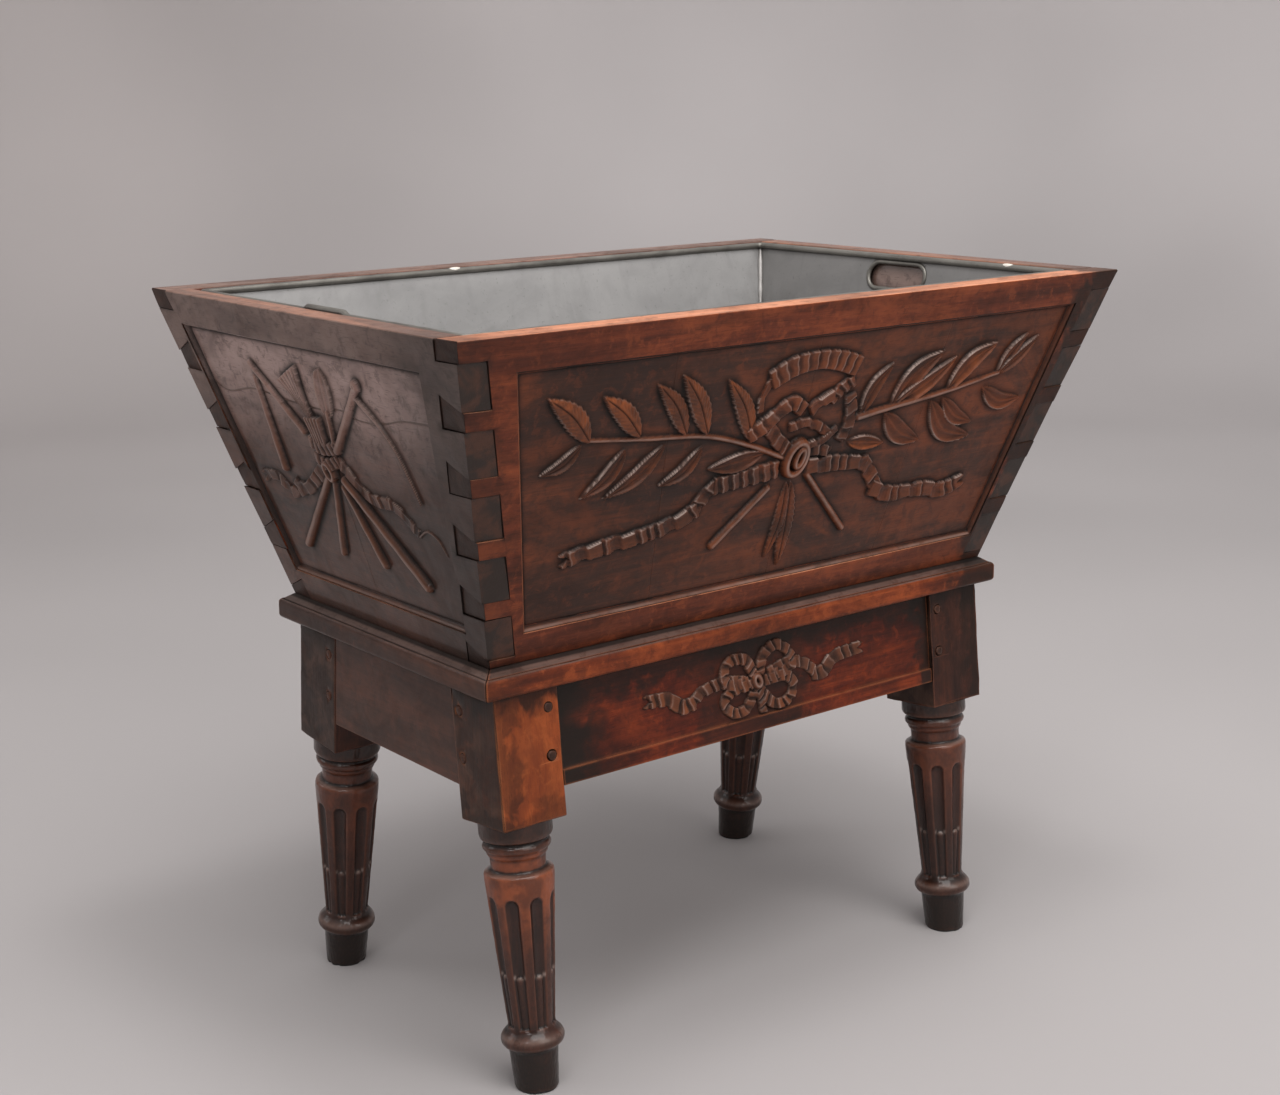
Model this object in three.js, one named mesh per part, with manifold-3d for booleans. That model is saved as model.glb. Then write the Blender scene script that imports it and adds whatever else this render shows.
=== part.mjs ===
// A cellarette in the form of a dough bin on a stand. A flared walnut trough, joined by
// compound-angle through dovetails, holds a lift-out zinc liner and rests on the moulded
// ledge of a pegged stand with four raked, turned and stop-fluted legs.
// Millimetres, +Z up. The origin is on the floor under the middle, +X runs along the long
// side and the carved front faces -Y.

import * as THREE from "three";
import { mergeVertices } from "three/addons/utils/BufferGeometryUtils.js";
import Module from "manifold-3d";

const wasm = await Module();
wasm.setup();

// Overall sizes
const standHeight = 425;
const troughDepth = 315;
const troughTopLength = 831;
const troughTopWidth = 564;
const troughBottomLength = 649;
const troughBottomWidth = 359;

// Clearances
const jointGap = 0.3;
const overrun = 6;
const weld = 0.0005;

// Trough boards
const frontThickness = 32;
const endThickness = 28;
const bottomThickness = 20;

// Dovetails, as heights on the outside of the corner, the top pin first
const tailCount = 5;
const topPinHeight = 20;
const tailHeight = 43;
const pinHeight = 18;
const pinFlare = 13;

// Sunk carved fields: how far each side of the field lies from the edge of its board
const fieldDepth = 6;
const fieldTopBorder = 34;
const fieldBottomBorder = 31;
const frontFieldLeft = { top: 57, bottom: 41 };
const frontFieldRight = { top: 45, bottom: 33 };
const endFieldFront = { top: 61, bottom: 33 };
const endFieldBack = { top: 38, bottom: 31 };

// Ledge moulding round the top of the stand
const ledgeHeight = 27;
const ledgeNoseHeight = 21;
const ledgeProjection = 13;
const ledgeWidth = 72;
const ledgeRounding = 4;
const roundingSteps = 4;

// Legs: the square block, and the turned part below it
const blockSize = 72;
const legSpread = 569;
const footSpread = 361;
const rake = THREE.MathUtils.degToRad(5.5);
const turnedLength = 267;
const footRadius = 21.5;
const footTopRadius = 24;
const torusRadius = 31;
const ankleRadius = 23;
const shoulderRadius = 33.8;
const neckRadius = 27;
const ringRadius = 33;
const ovoloRadius = 35.5;
const turningSteps = 24;

// Heights of the turned part's mouldings over the floor, as shares of its length
const footShare = 0.14;
const torusShare = 0.245;
const shoulderShare = 0.79;
const lipShare = 0.82;
const neckTopShare = 0.88;
const ringShare = 0.905;
const ovoloShare = 0.94;

// Flutes and the reeds that stop them
const fluteCount = 8;
const fluteRadius = 8.9;
const fluteDepth = 4.8;
const fluteTopShare = 0.725;
const reedRadius = 5.4;
const reedSink = 1;
const reedTopShare = 0.445;
const fluteSteps = 8;
const torusSteps = 8;
const domeSteps = 3;

// Rails of the stand
const railDepth = 102;
const railThickness = 25;
const frontRailSetback = 4;
const sideRailSetback = 1.2;
const tenonLength = 24;
const tenonThickness = 9;
const tenonShoulder = 9;
const beadHeight = 15;
const beadProud = 3;
const pegRadius = 5;
const pegLength = 30;
const pegProud = 0.6;
const pegDrops = [25, 71];
const pegSteps = 12;

// Zinc liner
const sheetThickness = 1.5;
const linerClearance = 4.5;
const rimRadius = 3.5;
const rimDrop = 0.6;
const rimSteps = 12;
const gripWidth = 94;
const gripHeight = 36;
const gripRadius = 2.5;
const gripSideways = 1;
const rimBow = 4;
const rimBowWidth = 92;
const bowSteps = 40;
const gripSteps = 8;
const gripLoopSteps = 14;

// Values that follow from the sizes above
const top = standHeight + troughDepth;
const ledgeBottom = standHeight - ledgeHeight;
const endRun = (troughTopLength - troughBottomLength) / 2;
const frontRun = (troughTopWidth - troughBottomWidth) / 2;
const endSlope = Math.atan2(endRun, troughDepth);
const frontSlope = Math.atan2(frontRun, troughDepth);
const endSpan = endThickness / Math.cos(endSlope);
const frontSpan = frontThickness / Math.cos(frontSlope);
const reach = troughTopLength;
const X = new THREE.Vector3(1, 0, 0);
const Y = new THREE.Vector3(0, 1, 0);
const Z = new THREE.Vector3(0, 0, 1);

// Half the outside length and half the outside width of the trough at a height
const halfLengthAt = (z) => troughBottomLength / 2 + (endRun * (z - standHeight)) / troughDepth;
const halfWidthAt = (z) => troughBottomWidth / 2 + (frontRun * (z - standHeight)) / troughDepth;

// Materials
const finish = (color, roughness, metalness) => () =>
  new THREE.MeshStandardMaterial({ color, roughness, metalness });
const troughWood = finish(0x4a2214, 0.42, 0);
const standWood = finish(0x5e2a14, 0.4, 0);
const pegWood = finish(0x2e160d, 0.55, 0);
const zinc = finish(0x8d9093, 0.5, 0.85);
const solderedWire = finish(0x77746c, 0.4, 0.9);

// Solids
function solid(geometry) {
  geometry.deleteAttribute("normal");
  geometry.deleteAttribute("uv");
  const merged = mergeVertices(geometry, weld);
  const vertProperties = merged.attributes.position.array;
  const triVerts = new Uint32Array(merged.index.array);
  return new wasm.Manifold(new wasm.Mesh({ numProp: 3, vertProperties, triVerts }));
}

function geometryOf(manifold) {
  const mesh = manifold.getMesh();
  const geometry = new THREE.BufferGeometry();
  geometry.setAttribute("position", new THREE.BufferAttribute(mesh.vertProperties, mesh.numProp));
  geometry.setIndex(new THREE.BufferAttribute(mesh.triVerts, 1));
  geometry.computeVertexNormals();
  return geometry;
}

function meshOf(name, shape, material) {
  const geometry = shape.isBufferGeometry ? shape : geometryOf(shape);
  const mesh = new THREE.Mesh(geometry, material());
  mesh.name = name;
  return mesh;
}

function extrude(outline, depth) {
  const shape = new THREE.Shape(outline.map(([a, b]) => new THREE.Vector2(a, b)));
  return new THREE.ExtrudeGeometry(shape, { depth, bevelEnabled: false });
}

// An outline of [y, z] points run along X, of [x, z] along Y, or of [x, y] along Z
function alongX(outline, from = -reach, to = reach) {
  const geometry = extrude(outline, to - from);
  geometry.applyMatrix4(new THREE.Matrix4().makeBasis(Y, Z, X));
  return geometry.translate(from, 0, 0);
}

function alongY(outline, from = -reach, to = reach) {
  const geometry = extrude(outline, to - from);
  geometry.applyMatrix4(new THREE.Matrix4().makeBasis(X, Z, Y.clone().negate()));
  return geometry.translate(0, to, 0);
}

function alongZ(outline, from, to) {
  return extrude(outline, to - from).translate(0, 0, from);
}

function box(centre, size) {
  return new THREE.BoxGeometry(...size).translate(...centre);
}

function joined(solids) {
  return solids.reduce((whole, next) => whole.add(next));
}

// The flared space between the two ends, or between front and back, drawn in all round by
// an inset, and the sloping slab of one wall between two insets
const spaceBetween = (halfAt) => (inset, low, high) => [
  [halfAt(low) - inset, low],
  [halfAt(high) - inset, high],
  [inset - halfAt(high), high],
  [inset - halfAt(low), low],
];
const slabBetween = (halfAt) => (side, outer, inner, low, high) => [
  [side * (halfAt(low) - outer), low],
  [side * (halfAt(high) - outer), high],
  [side * (halfAt(high) - inner), high],
  [side * (halfAt(low) - inner), low],
];
const endsOutline = spaceBetween(halfLengthAt);
const sidesOutline = spaceBetween(halfWidthAt);
const endSlabOutline = slabBetween(halfLengthAt);
const sideSlabOutline = slabBetween(halfWidthAt);
const betweenEnds = (inset, low, high) => solid(alongY(endsOutline(inset, low, high)));
const betweenSides = (inset, low, high) => solid(alongX(sidesOutline(inset, low, high)));
const endSlab = (...sizes) => solid(alongY(endSlabOutline(...sizes)));
const sideSlab = (...sizes) => solid(alongX(sideSlabOutline(...sizes)));

// One tail in the plane of Y and Z, level on top and rising inwards underneath. It runs
// from an outer to an inner inset of the front or back board.
function tailOutline(side, index, gap, outer, inner) {
  const roof = top - topPinHeight - index * (tailHeight + pinHeight);
  const floorAt = (inset) => roof - tailHeight - gap + (pinFlare * inset) / frontSpan;
  const at = (inset, z) => [side * (halfWidthAt(z) - inset), z];
  return [
    at(outer, roof + gap),
    at(inner, roof + gap),
    at(inner, floorAt(inner)),
    at(outer, floorAt(outer)),
  ];
}

function tails(side, gap, outer, inner) {
  const indices = Array.from({ length: tailCount }, (_, index) => index);
  return joined(indices.map((index) => solid(alongX(tailOutline(side, index, gap, outer, inner)))));
}

// The frame of a board's outer face: across, up the slope, and straight out of the wood,
// from the middle of its bottom edge
function faceFrame(outward, slope, distance) {
  const sin = Math.sin(slope);
  const cos = Math.cos(slope);
  const up = outward.clone().multiplyScalar(sin).addScaledVector(Z, cos);
  const out = outward.clone().multiplyScalar(cos).addScaledVector(Z, -sin);
  const frame = new THREE.Matrix4().makeBasis(up.clone().cross(out), up, out);
  const origin = outward.clone().multiplyScalar(distance).addScaledVector(Z, standHeight);
  return frame.setPosition(origin);
}

// The cutter of a sunk field, from its left and right borders as seen from outside
function sunkField(frame, slope, halfTop, halfBottom, left, right) {
  const faceHeight = troughDepth / Math.cos(slope);
  const flare = (halfTop - halfBottom) / faceHeight;
  const low = fieldBottomBorder;
  const high = faceHeight - fieldTopBorder;
  const outline = [
    [left.bottom - halfBottom - flare * low, low],
    [halfBottom + flare * low - right.bottom, low],
    [halfBottom + flare * high - right.top, high],
    [left.top - halfBottom - flare * high, high],
  ];
  const cutter = alongZ(outline, -fieldDepth, overrun);
  return solid(cutter.applyMatrix4(frame));
}

// Front and back are the pin boards: a slab with the tails of both ends cut out
function pinBoard(side) {
  const slab = sideSlab(side, 0, frontSpan, standHeight, top);
  const ends = [-1, 1].map((end) =>
    endSlab(end, -overrun, endSpan + jointGap, standHeight - overrun, top + overrun),
  );
  const sockets = tails(side, jointGap, -overrun, frontSpan + overrun);
  return slab.intersect(betweenEnds(0, standHeight, top)).subtract(joined(ends).intersect(sockets));
}

// The ends are the tail boards: a core between front and back, and the tails at its ends
function tailBoard(end) {
  const core = betweenSides(frontSpan + jointGap, standHeight, top);
  const body = joined([core, ...[-1, 1].map((side) => tails(side, 0, 0, frontSpan + overrun))]);
  return endSlab(end, 0, endSpan, standHeight, top).intersect(body);
}

function frontField() {
  const frame = faceFrame(Y.clone().negate(), frontSlope, troughBottomWidth / 2);
  const halfTop = troughTopLength / 2;
  const halfBottom = troughBottomLength / 2;
  return sunkField(frame, frontSlope, halfTop, halfBottom, frontFieldLeft, frontFieldRight);
}

function endField(end) {
  const frame = faceFrame(X.clone().multiplyScalar(end), endSlope, troughBottomLength / 2);
  const borders = end < 0 ? [endFieldBack, endFieldFront] : [endFieldFront, endFieldBack];
  return sunkField(frame, endSlope, troughTopWidth / 2, troughBottomWidth / 2, ...borders);
}

function trough() {
  const group = new THREE.Group();
  const bottomTop = standHeight + bottomThickness;
  const bottom = betweenEnds(endSpan + jointGap, standHeight, bottomTop).intersect(
    betweenSides(frontSpan + jointGap, standHeight, bottomTop),
  );
  group.add(
    meshOf("trough_front", pinBoard(-1).subtract(frontField()), troughWood),
    meshOf("trough_back", pinBoard(1), troughWood),
    meshOf("trough_left_end", tailBoard(-1).subtract(endField(-1)), troughWood),
    meshOf("trough_right_end", tailBoard(1).subtract(endField(1)), troughWood),
    meshOf("trough_bottom", bottom, troughWood),
  );
  return group;
}

// A quarter round from one angle to the next, both in quarter turns
function quarterRound(x, y, radius, quarter) {
  return Array.from({ length: roundingSteps + 1 }, (_, step) => {
    const angle = (Math.PI / 2) * (quarter + step / roundingSteps);
    return [x + radius * Math.cos(angle), y + radius * Math.sin(angle)];
  });
}

// The ledge's section: a nose with rounded edges, a weathered slope up to the trough and a
// flat seat under its boards. Half is the distance from the middle to the trough's edge.
function ledgeOutline(half) {
  const nose = half + ledgeProjection;
  const noseTop = ledgeBottom + ledgeNoseHeight;
  const inside = nose - ledgeWidth;
  return [
    [inside, ledgeBottom],
    ...quarterRound(nose - ledgeRounding, ledgeBottom + ledgeRounding, ledgeRounding, -1),
    ...quarterRound(nose - ledgeRounding, noseTop - ledgeRounding, ledgeRounding, 0),
    [half, standHeight],
    [inside, standHeight],
  ];
}

// A ledge piece's plan, mitred at both ends: along its run, then away from the middle
function mitreOutline(halfRun, half) {
  const outer = halfRun + ledgeProjection - jointGap;
  const far = half + ledgeProjection;
  return [
    [outer + overrun, far + overrun],
    [-outer - overrun, far + overrun],
    [ledgeWidth - outer, far - ledgeWidth],
    [outer - ledgeWidth, far - ledgeWidth],
  ];
}

function ledge() {
  const group = new THREE.Group();
  const halfLength = troughBottomLength / 2;
  const halfWidth = troughBottomWidth / 2;
  const low = ledgeBottom - overrun;
  const high = standHeight + overrun;
  for (const [word, side] of [["front", -1], ["back", 1]]) {
    const run = solid(alongX(ledgeOutline(halfWidth).map(([y, z]) => [side * y, z])));
    const plan = mitreOutline(halfLength, halfWidth).map(([x, y]) => [x, side * y]);
    group.add(meshOf(`ledge_${word}`, run.intersect(solid(alongZ(plan, low, high))), standWood));
  }
  for (const [word, side] of [["left", -1], ["right", 1]]) {
    const run = solid(alongY(ledgeOutline(halfLength).map(([x, z]) => [side * x, z])));
    const plan = mitreOutline(halfWidth, halfLength).map(([y, x]) => [side * x, y]);
    group.add(meshOf(`ledge_${word}`, run.intersect(solid(alongZ(plan, low, high))), standWood));
  }
  return group;
}

// A bulge from one radius to another, swelling to a crown, as [radius, height] points
function bulge(fromRadius, toRadius, crown, low, high, steps) {
  return Array.from({ length: steps + 1 }, (_, step) => {
    const share = step / steps;
    const base = fromRadius + (toRadius - fromRadius) * share;
    const swell = Math.sin(Math.PI * share) ** (2 / 3);
    return [base + (crown - base) * swell, low + (high - low) * share];
  });
}

function turningOutline() {
  const at = (share) => share * turnedLength;
  const edge = (at(ringShare) - at(neckTopShare)) / 2;
  const collar = neckRadius + edge;
  return [
    [0, -overrun],
    [footRadius, -overrun],
    [footRadius, 0],
    ...bulge(footTopRadius, ankleRadius, torusRadius, at(footShare), at(torusShare), torusSteps),
    [shoulderRadius, at(shoulderShare)],
    [shoulderRadius, at(lipShare) - edge],
    [shoulderRadius - edge / 2, at(lipShare)],
    [neckRadius, at(lipShare)],
    [neckRadius, at(neckTopShare)],
    ...bulge(collar, collar, ringRadius, at(ringShare) - edge, at(ovoloShare) - edge, domeSteps),
    [ringRadius, at(ovoloShare)],
    [ovoloRadius, at(ovoloShare) + edge],
    [ovoloRadius, turnedLength + overrun],
    [0, turnedLength + overrun],
  ];
}

// A turned solid about Z from [radius, height] points, lowest first
function turned(outline, steps) {
  const points = outline.map(([radius, height]) => new THREE.Vector2(radius, height));
  return new THREE.LatheGeometry(points, steps).rotateX(Math.PI / 2);
}

// A tapered rod with a domed top, as one flute's cutter or one reed
function domedRod(lowRadius, highRadius, low, high) {
  const dome = Array.from({ length: domeSteps + 1 }, (_, step) => {
    const angle = (Math.PI / 2) * (step / domeSteps);
    return [highRadius * Math.cos(angle), high + highRadius * Math.sin(angle)];
  });
  dome[domeSteps][0] = 0;
  return turned([[0, low], [lowRadius, low], ...dome], fluteSteps);
}

// Rods stood round the shaft, each leaning with its taper. Sink is how far the rod's axis
// lies inside the shaft's surface.
function roundTheShaft(rodRadius, topShare, sinkAt) {
  const ankle = torusShare * turnedLength;
  const shoulder = shoulderShare * turnedLength;
  const taper = (shoulderRadius - ankleRadius) / (shoulder - ankle);
  const low = ankle - overrun;
  const high = topShare * turnedLength - rodRadius;
  const surfaceAt = (z) => ankleRadius + taper * (z - ankle);
  const narrowing = surfaceAt(low) / surfaceAt(high);
  const rods = [];
  for (let index = 0; index < fluteCount; index += 1) {
    const rod = domedRod(rodRadius * narrowing, rodRadius, 0, high - low);
    rod.rotateY(Math.atan(taper));
    rod.translate(surfaceAt(low) - sinkAt(narrowing), 0, low);
    rod.rotateZ((index * 2 * Math.PI) / fluteCount);
    rods.push(solid(rod));
  }
  return joined(rods);
}

function turnedLeg() {
  const body = solid(turned(turningOutline(), turningSteps));
  const ankle = torusShare * turnedLength;
  const aboveTorus = box([0, 0, turnedLength / 2 + ankle], [reach, reach, turnedLength]);
  const fluteSink = fluteDepth - fluteRadius;
  const flutes = roundTheShaft(fluteRadius, fluteTopShare, (narrowing) => fluteSink * narrowing);
  const reeds = roundTheShaft(reedRadius, reedTopShare, () => reedSink + reedRadius);
  return body.subtract(flutes.intersect(solid(aboveTorus))).add(reeds);
}

// Half the distance between the front and back blocks at a height
const halfBetweenBlocksAt = (z) =>
  footSpread / 2 - z * Math.tan(rake) - blockSize / 2 / Math.cos(rake);

// A side rail's outline in Y and Z, grown past its shoulders and drawn in top and bottom
function sideRailOutline(growth, drawnIn) {
  const high = ledgeBottom - drawnIn;
  const low = ledgeBottom - railDepth + drawnIn;
  return spaceBetween(halfBetweenBlocksAt)(-growth, low, high);
}

const sideRailFace = (side) => side * (legSpread / 2 + blockSize / 2 - sideRailSetback);

function sideRailSlab(side, outline, thickness, gap) {
  const middle = sideRailFace(side) - (side * railThickness) / 2;
  return solid(alongX(outline, middle - thickness / 2 - gap, middle + thickness / 2 + gap));
}

const sideTenon = (side, gap) =>
  sideRailSlab(side, sideRailOutline(tenonLength + gap, tenonShoulder - gap), tenonThickness, gap);

// The front and back of the stand lean with their legs. Each is built in a frame of its
// own, with its origin on the floor between the two feet and -Y or +Y as its outer side.
function leaningFrame(side) {
  const frame = new THREE.Group();
  frame.position.y = (side * footSpread) / 2;
  frame.rotation.x = side * rake;
  frame.updateMatrixWorld(true);
  return frame;
}

function levelSlab(frame, low, high) {
  const slab = box([0, 0, (low + high) / 2], [reach * 2, reach * 2, high - low]);
  return solid(slab.applyMatrix4(frame.matrixWorld.clone().invert()));
}

const railMiddle = (side) => side * (blockSize / 2 - frontRailSetback - railThickness / 2);
const tenonMiddle = blockSize / 2 - tenonLength / 2;

// Pegs through a leg's outer face into the long rail's tenon, and through its side into
// the side rail's. Each is [x, y, z] of the peg's middle in the leg's frame.
function pegPlaces(side, end) {
  const face = blockSize / 2 + pegProud - pegLength / 2;
  return pegDrops.flatMap((drop, index) => {
    const height = (ledgeBottom - drop) / Math.cos(rake);
    return [
      { word: `long_${index + 1}`, axis: "y", place: [-end * tenonMiddle, side * face, height] },
      { word: `side_${index + 1}`, axis: "x", place: [end * face, -side * tenonMiddle, height] },
    ];
  });
}

function pegRod(axis, radius, length) {
  const rod = new THREE.CylinderGeometry(radius, radius, length, pegSteps);
  return axis === "x" ? rod.rotateZ(Math.PI / 2) : rod;
}

function pegHoles(side, end) {
  const rods = pegPlaces(side, end).map(({ axis, place }) =>
    solid(pegRod(axis, pegRadius + jointGap, pegLength + 2 * jointGap).translate(...place)),
  );
  return joined(rods);
}

function longTenon(side, end, gap) {
  const start = -end * (blockSize / 2 + overrun);
  const tip = -end * (blockSize / 2 - tenonLength - gap);
  const high = ledgeBottom - tenonShoulder + gap;
  const low = ledgeBottom - railDepth + tenonShoulder - gap;
  const size = [Math.abs(tip - start), tenonThickness + 2 * gap, high - low];
  return box([(start + tip) / 2, railMiddle(side), (low + high) / 2], size);
}

function leg(frame, side, end) {
  const blockLength = ledgeBottom - turnedLength + blockSize;
  const block = box([0, 0, turnedLength + blockLength / 2], [blockSize, blockSize, blockLength]);
  const placed = new THREE.Matrix4().makeTranslation((end * legSpread) / 2, 0, 0);
  const toLeg = frame.matrixWorld.clone().multiply(placed).invert();
  const sideMortise = sideTenon(end, jointGap).transform(toLeg.toArray());
  return solid(block)
    .add(turnedLeg())
    .intersect(levelSlab(frame, 0, ledgeBottom))
    .subtract(solid(longTenon(side, end, jointGap)))
    .subtract(sideMortise)
    .subtract(pegHoles(side, end));
}

function longRail(frame, side) {
  const shoulder = legSpread / 2 - blockSize / 2 - jointGap;
  const low = ledgeBottom - railDepth;
  const board = box(
    [0, railMiddle(side), low + railDepth],
    [2 * shoulder, railThickness, 2 * railDepth],
  );
  const parts = [solid(board)];
  if (side < 0) {
    const proud = railMiddle(side) + side * (railThickness / 2 + beadProud / 2 - jointGap);
    const bead = box([0, proud, low + beadHeight / 2], [2 * shoulder, beadProud, beadHeight]);
    parts.push(solid(bead));
  }
  for (const end of [-1, 1]) {
    parts.push(solid(longTenon(side, end, 0).translate((end * legSpread) / 2, 0, 0)));
  }
  const holes = [-1, 1].map((end) => pegHoles(side, end).translate([(end * legSpread) / 2, 0, 0]));
  return joined(parts).intersect(levelSlab(frame, 0, ledgeBottom)).subtract(joined(holes));
}

function sideRail(end) {
  const shoulderOutline = sideRailOutline(-jointGap, 0);
  const holes = [-1, 1].map((side) => {
    const frame = leaningFrame(side);
    const moved = pegHoles(side, end).translate([(end * legSpread) / 2, 0, 0]);
    return moved.transform(frame.matrixWorld.toArray());
  });
  return sideRailSlab(end, shoulderOutline, railThickness, 0)
    .add(sideTenon(end, 0))
    .subtract(joined(holes));
}

function stand() {
  const group = new THREE.Group();
  for (const [sideWord, side] of [["front", -1], ["back", 1]]) {
    const frame = leaningFrame(side);
    frame.add(meshOf(`rail_${sideWord}`, longRail(frame, side), standWood));
    for (const [endWord, end] of [["left", -1], ["right", 1]]) {
      const corner = new THREE.Group();
      corner.position.x = (end * legSpread) / 2;
      corner.add(meshOf(`leg_${sideWord}_${endWord}`, leg(frame, side, end), standWood));
      for (const { word, axis, place } of pegPlaces(side, end)) {
        const rod = pegRod(axis, pegRadius, pegLength);
        const peg = meshOf(`peg_${sideWord}_${endWord}_${word}`, rod, pegWood);
        peg.position.set(...place);
        corner.add(peg);
      }
      frame.add(corner);
    }
    group.add(frame);
  }
  group.add(meshOf("rail_left", sideRail(-1), standWood));
  group.add(meshOf("rail_right", sideRail(1), standWood));
  return group;
}

// The liner's walls stand off the boards by the clearance
const linerLow = standHeight + bottomThickness + jointGap;
const rimMiddle = top - rimDrop - rimRadius;
const linerHigh = rimMiddle - rimRadius - jointGap;
const endSheetSpan = sheetThickness / Math.cos(endSlope);
const sideSheetSpan = sheetThickness / Math.cos(frontSlope);
const endInset = endSpan + linerClearance;
const sideInset = frontSpan + linerClearance;

// The frame of one hand hole, in the middle of its end sheet's thickness: across, up the
// slope and out, from the middle of the hole
function gripFrame(end) {
  const height = linerHigh - (gripHeight / 2) * Math.cos(endSlope);
  const distance = halfLengthAt(height) - endInset - endSheetSpan / 2;
  const frame = faceFrame(X.clone().multiplyScalar(end), endSlope, distance);
  const raised = new THREE.Vector3(end * distance, gripSideways, height);
  return frame.setPosition(raised);
}

// A long hole with round ends, as points across and up
function gripOutline(width, height) {
  const shape = new THREE.Shape();
  const straight = (width - height) / 2;
  shape.absarc(straight, 0, height / 2, -Math.PI / 2, Math.PI / 2, false);
  shape.absarc(-straight, 0, height / 2, Math.PI / 2, (3 * Math.PI) / 2, false);
  return shape.getPoints(gripSteps).map((point) => [point.x, point.y]);
}

function gripHole(end) {
  const outline = gripOutline(gripWidth + 2 * jointGap, gripHeight + 2 * jointGap);
  return solid(alongZ(outline, -overrun, overrun).applyMatrix4(gripFrame(end)));
}

// The wired edge of the hand hole: a ring whose two halves are drawn apart along X. An
// odd number of steps in each half leaves no point on the line where it parts.
function gripLoop() {
  const straight = gripWidth - gripHeight;
  const bend = gripHeight / 2 - gripRadius;
  const ring = new THREE.TorusGeometry(bend, gripRadius, gripSteps, gripLoopSteps);
  const places = ring.getAttribute("position");
  for (let index = 0; index < places.count; index += 1) {
    const x = places.getX(index);
    places.setX(index, x + (Math.sign(x) * straight) / 2);
  }
  return solid(ring);
}

// The middle line of the left rim, bowed up over the hand hole by years of lifting
class BowedLine extends THREE.Curve {
  getPoint(share, target = new THREE.Vector3()) {
    const y = (share - 1 / 2) * troughTopWidth;
    const inBow = Math.abs(y) < rimBowWidth / 2;
    const lift = inBow ? (rimBow * (1 + Math.cos((2 * Math.PI * y) / rimBowWidth))) / 2 : 0;
    return target.set(0, y, lift);
  }
}

function bowedRod() {
  const section = new THREE.Shape().absarc(0, 0, rimRadius, 0, 2 * Math.PI, false);
  const sides = new THREE.Shape(section.getSpacedPoints(rimSteps).slice(0, rimSteps));
  return new THREE.ExtrudeGeometry(sides, {
    steps: bowSteps,
    extrudePath: new BowedLine(),
    bevelEnabled: false,
  });
}

const straightRod = () => new THREE.CylinderGeometry(rimRadius, rimRadius, reach, rimSteps);

// The plan that mitres a rim rod at 45 degrees: along its run, then away from the middle
function rimMitre(halfRun, half) {
  const run = halfRun - jointGap;
  const margin = 2 * rimRadius;
  return [
    [run + margin, half + margin],
    [-run - margin, half + margin],
    [margin - run, half - margin],
    [run - margin, half - margin],
  ];
}

function liner() {
  const group = new THREE.Group();
  const halfLength = halfLengthAt(linerHigh) - endInset - endSheetSpan / 2;
  const halfWidth = halfWidthAt(linerHigh) - sideInset - sideSheetSpan / 2;
  const low = rimMiddle - 2 * rimRadius;
  const high = rimMiddle + 2 * rimRadius + rimBow;
  for (const [word, side] of [["front", -1], ["back", 1]]) {
    const wall = sideSlab(side, sideInset, sideInset + sideSheetSpan, linerLow, linerHigh);
    const ends = betweenEnds(endInset + endSheetSpan + jointGap, linerLow, linerHigh);
    group.add(meshOf(`liner_${word}`, wall.intersect(ends), zinc));
    const rod = straightRod().rotateZ(Math.PI / 2).translate(0, side * halfWidth, rimMiddle);
    const plan = rimMitre(halfLength, halfWidth).map(([x, y]) => [x, side * y]);
    const rim = solid(rod).intersect(solid(alongZ(plan, low, high)));
    group.add(meshOf(`liner_rim_${word}`, rim, solderedWire));
  }
  for (const [word, end] of [["left", -1], ["right", 1]]) {
    const wall = endSlab(end, endInset, endInset + endSheetSpan, linerLow, linerHigh);
    const sides = betweenSides(sideInset, linerLow, linerHigh);
    group.add(meshOf(`liner_${word}`, wall.intersect(sides).subtract(gripHole(end)), zinc));
    const rod = end < 0 ? bowedRod() : straightRod();
    rod.translate(end * halfLength, 0, rimMiddle);
    const plan = rimMitre(halfWidth, halfLength).map(([y, x]) => [end * x, y]);
    const rim = solid(rod).intersect(solid(alongZ(plan, low, high)));
    group.add(meshOf(`liner_rim_${word}`, rim, solderedWire));
    const grip = meshOf(`liner_grip_${word}`, gripLoop(), solderedWire);
    grip.applyMatrix4(gripFrame(end));
    group.add(grip);
  }
  const floorTop = linerLow + sheetThickness;
  const floor = betweenEnds(endInset + endSheetSpan + jointGap, linerLow, floorTop).intersect(
    betweenSides(sideInset + sideSheetSpan + jointGap, linerLow, floorTop),
  );
  group.add(meshOf("liner_floor", floor, zinc));
  return group;
}

const cellarette = new THREE.Group();
cellarette.add(trough(), ledge(), stand(), liner());

export default cellarette;
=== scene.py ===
import itertools
import math

import bmesh
import bpy
import numpy as np
from mathutils import Matrix, Vector


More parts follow.
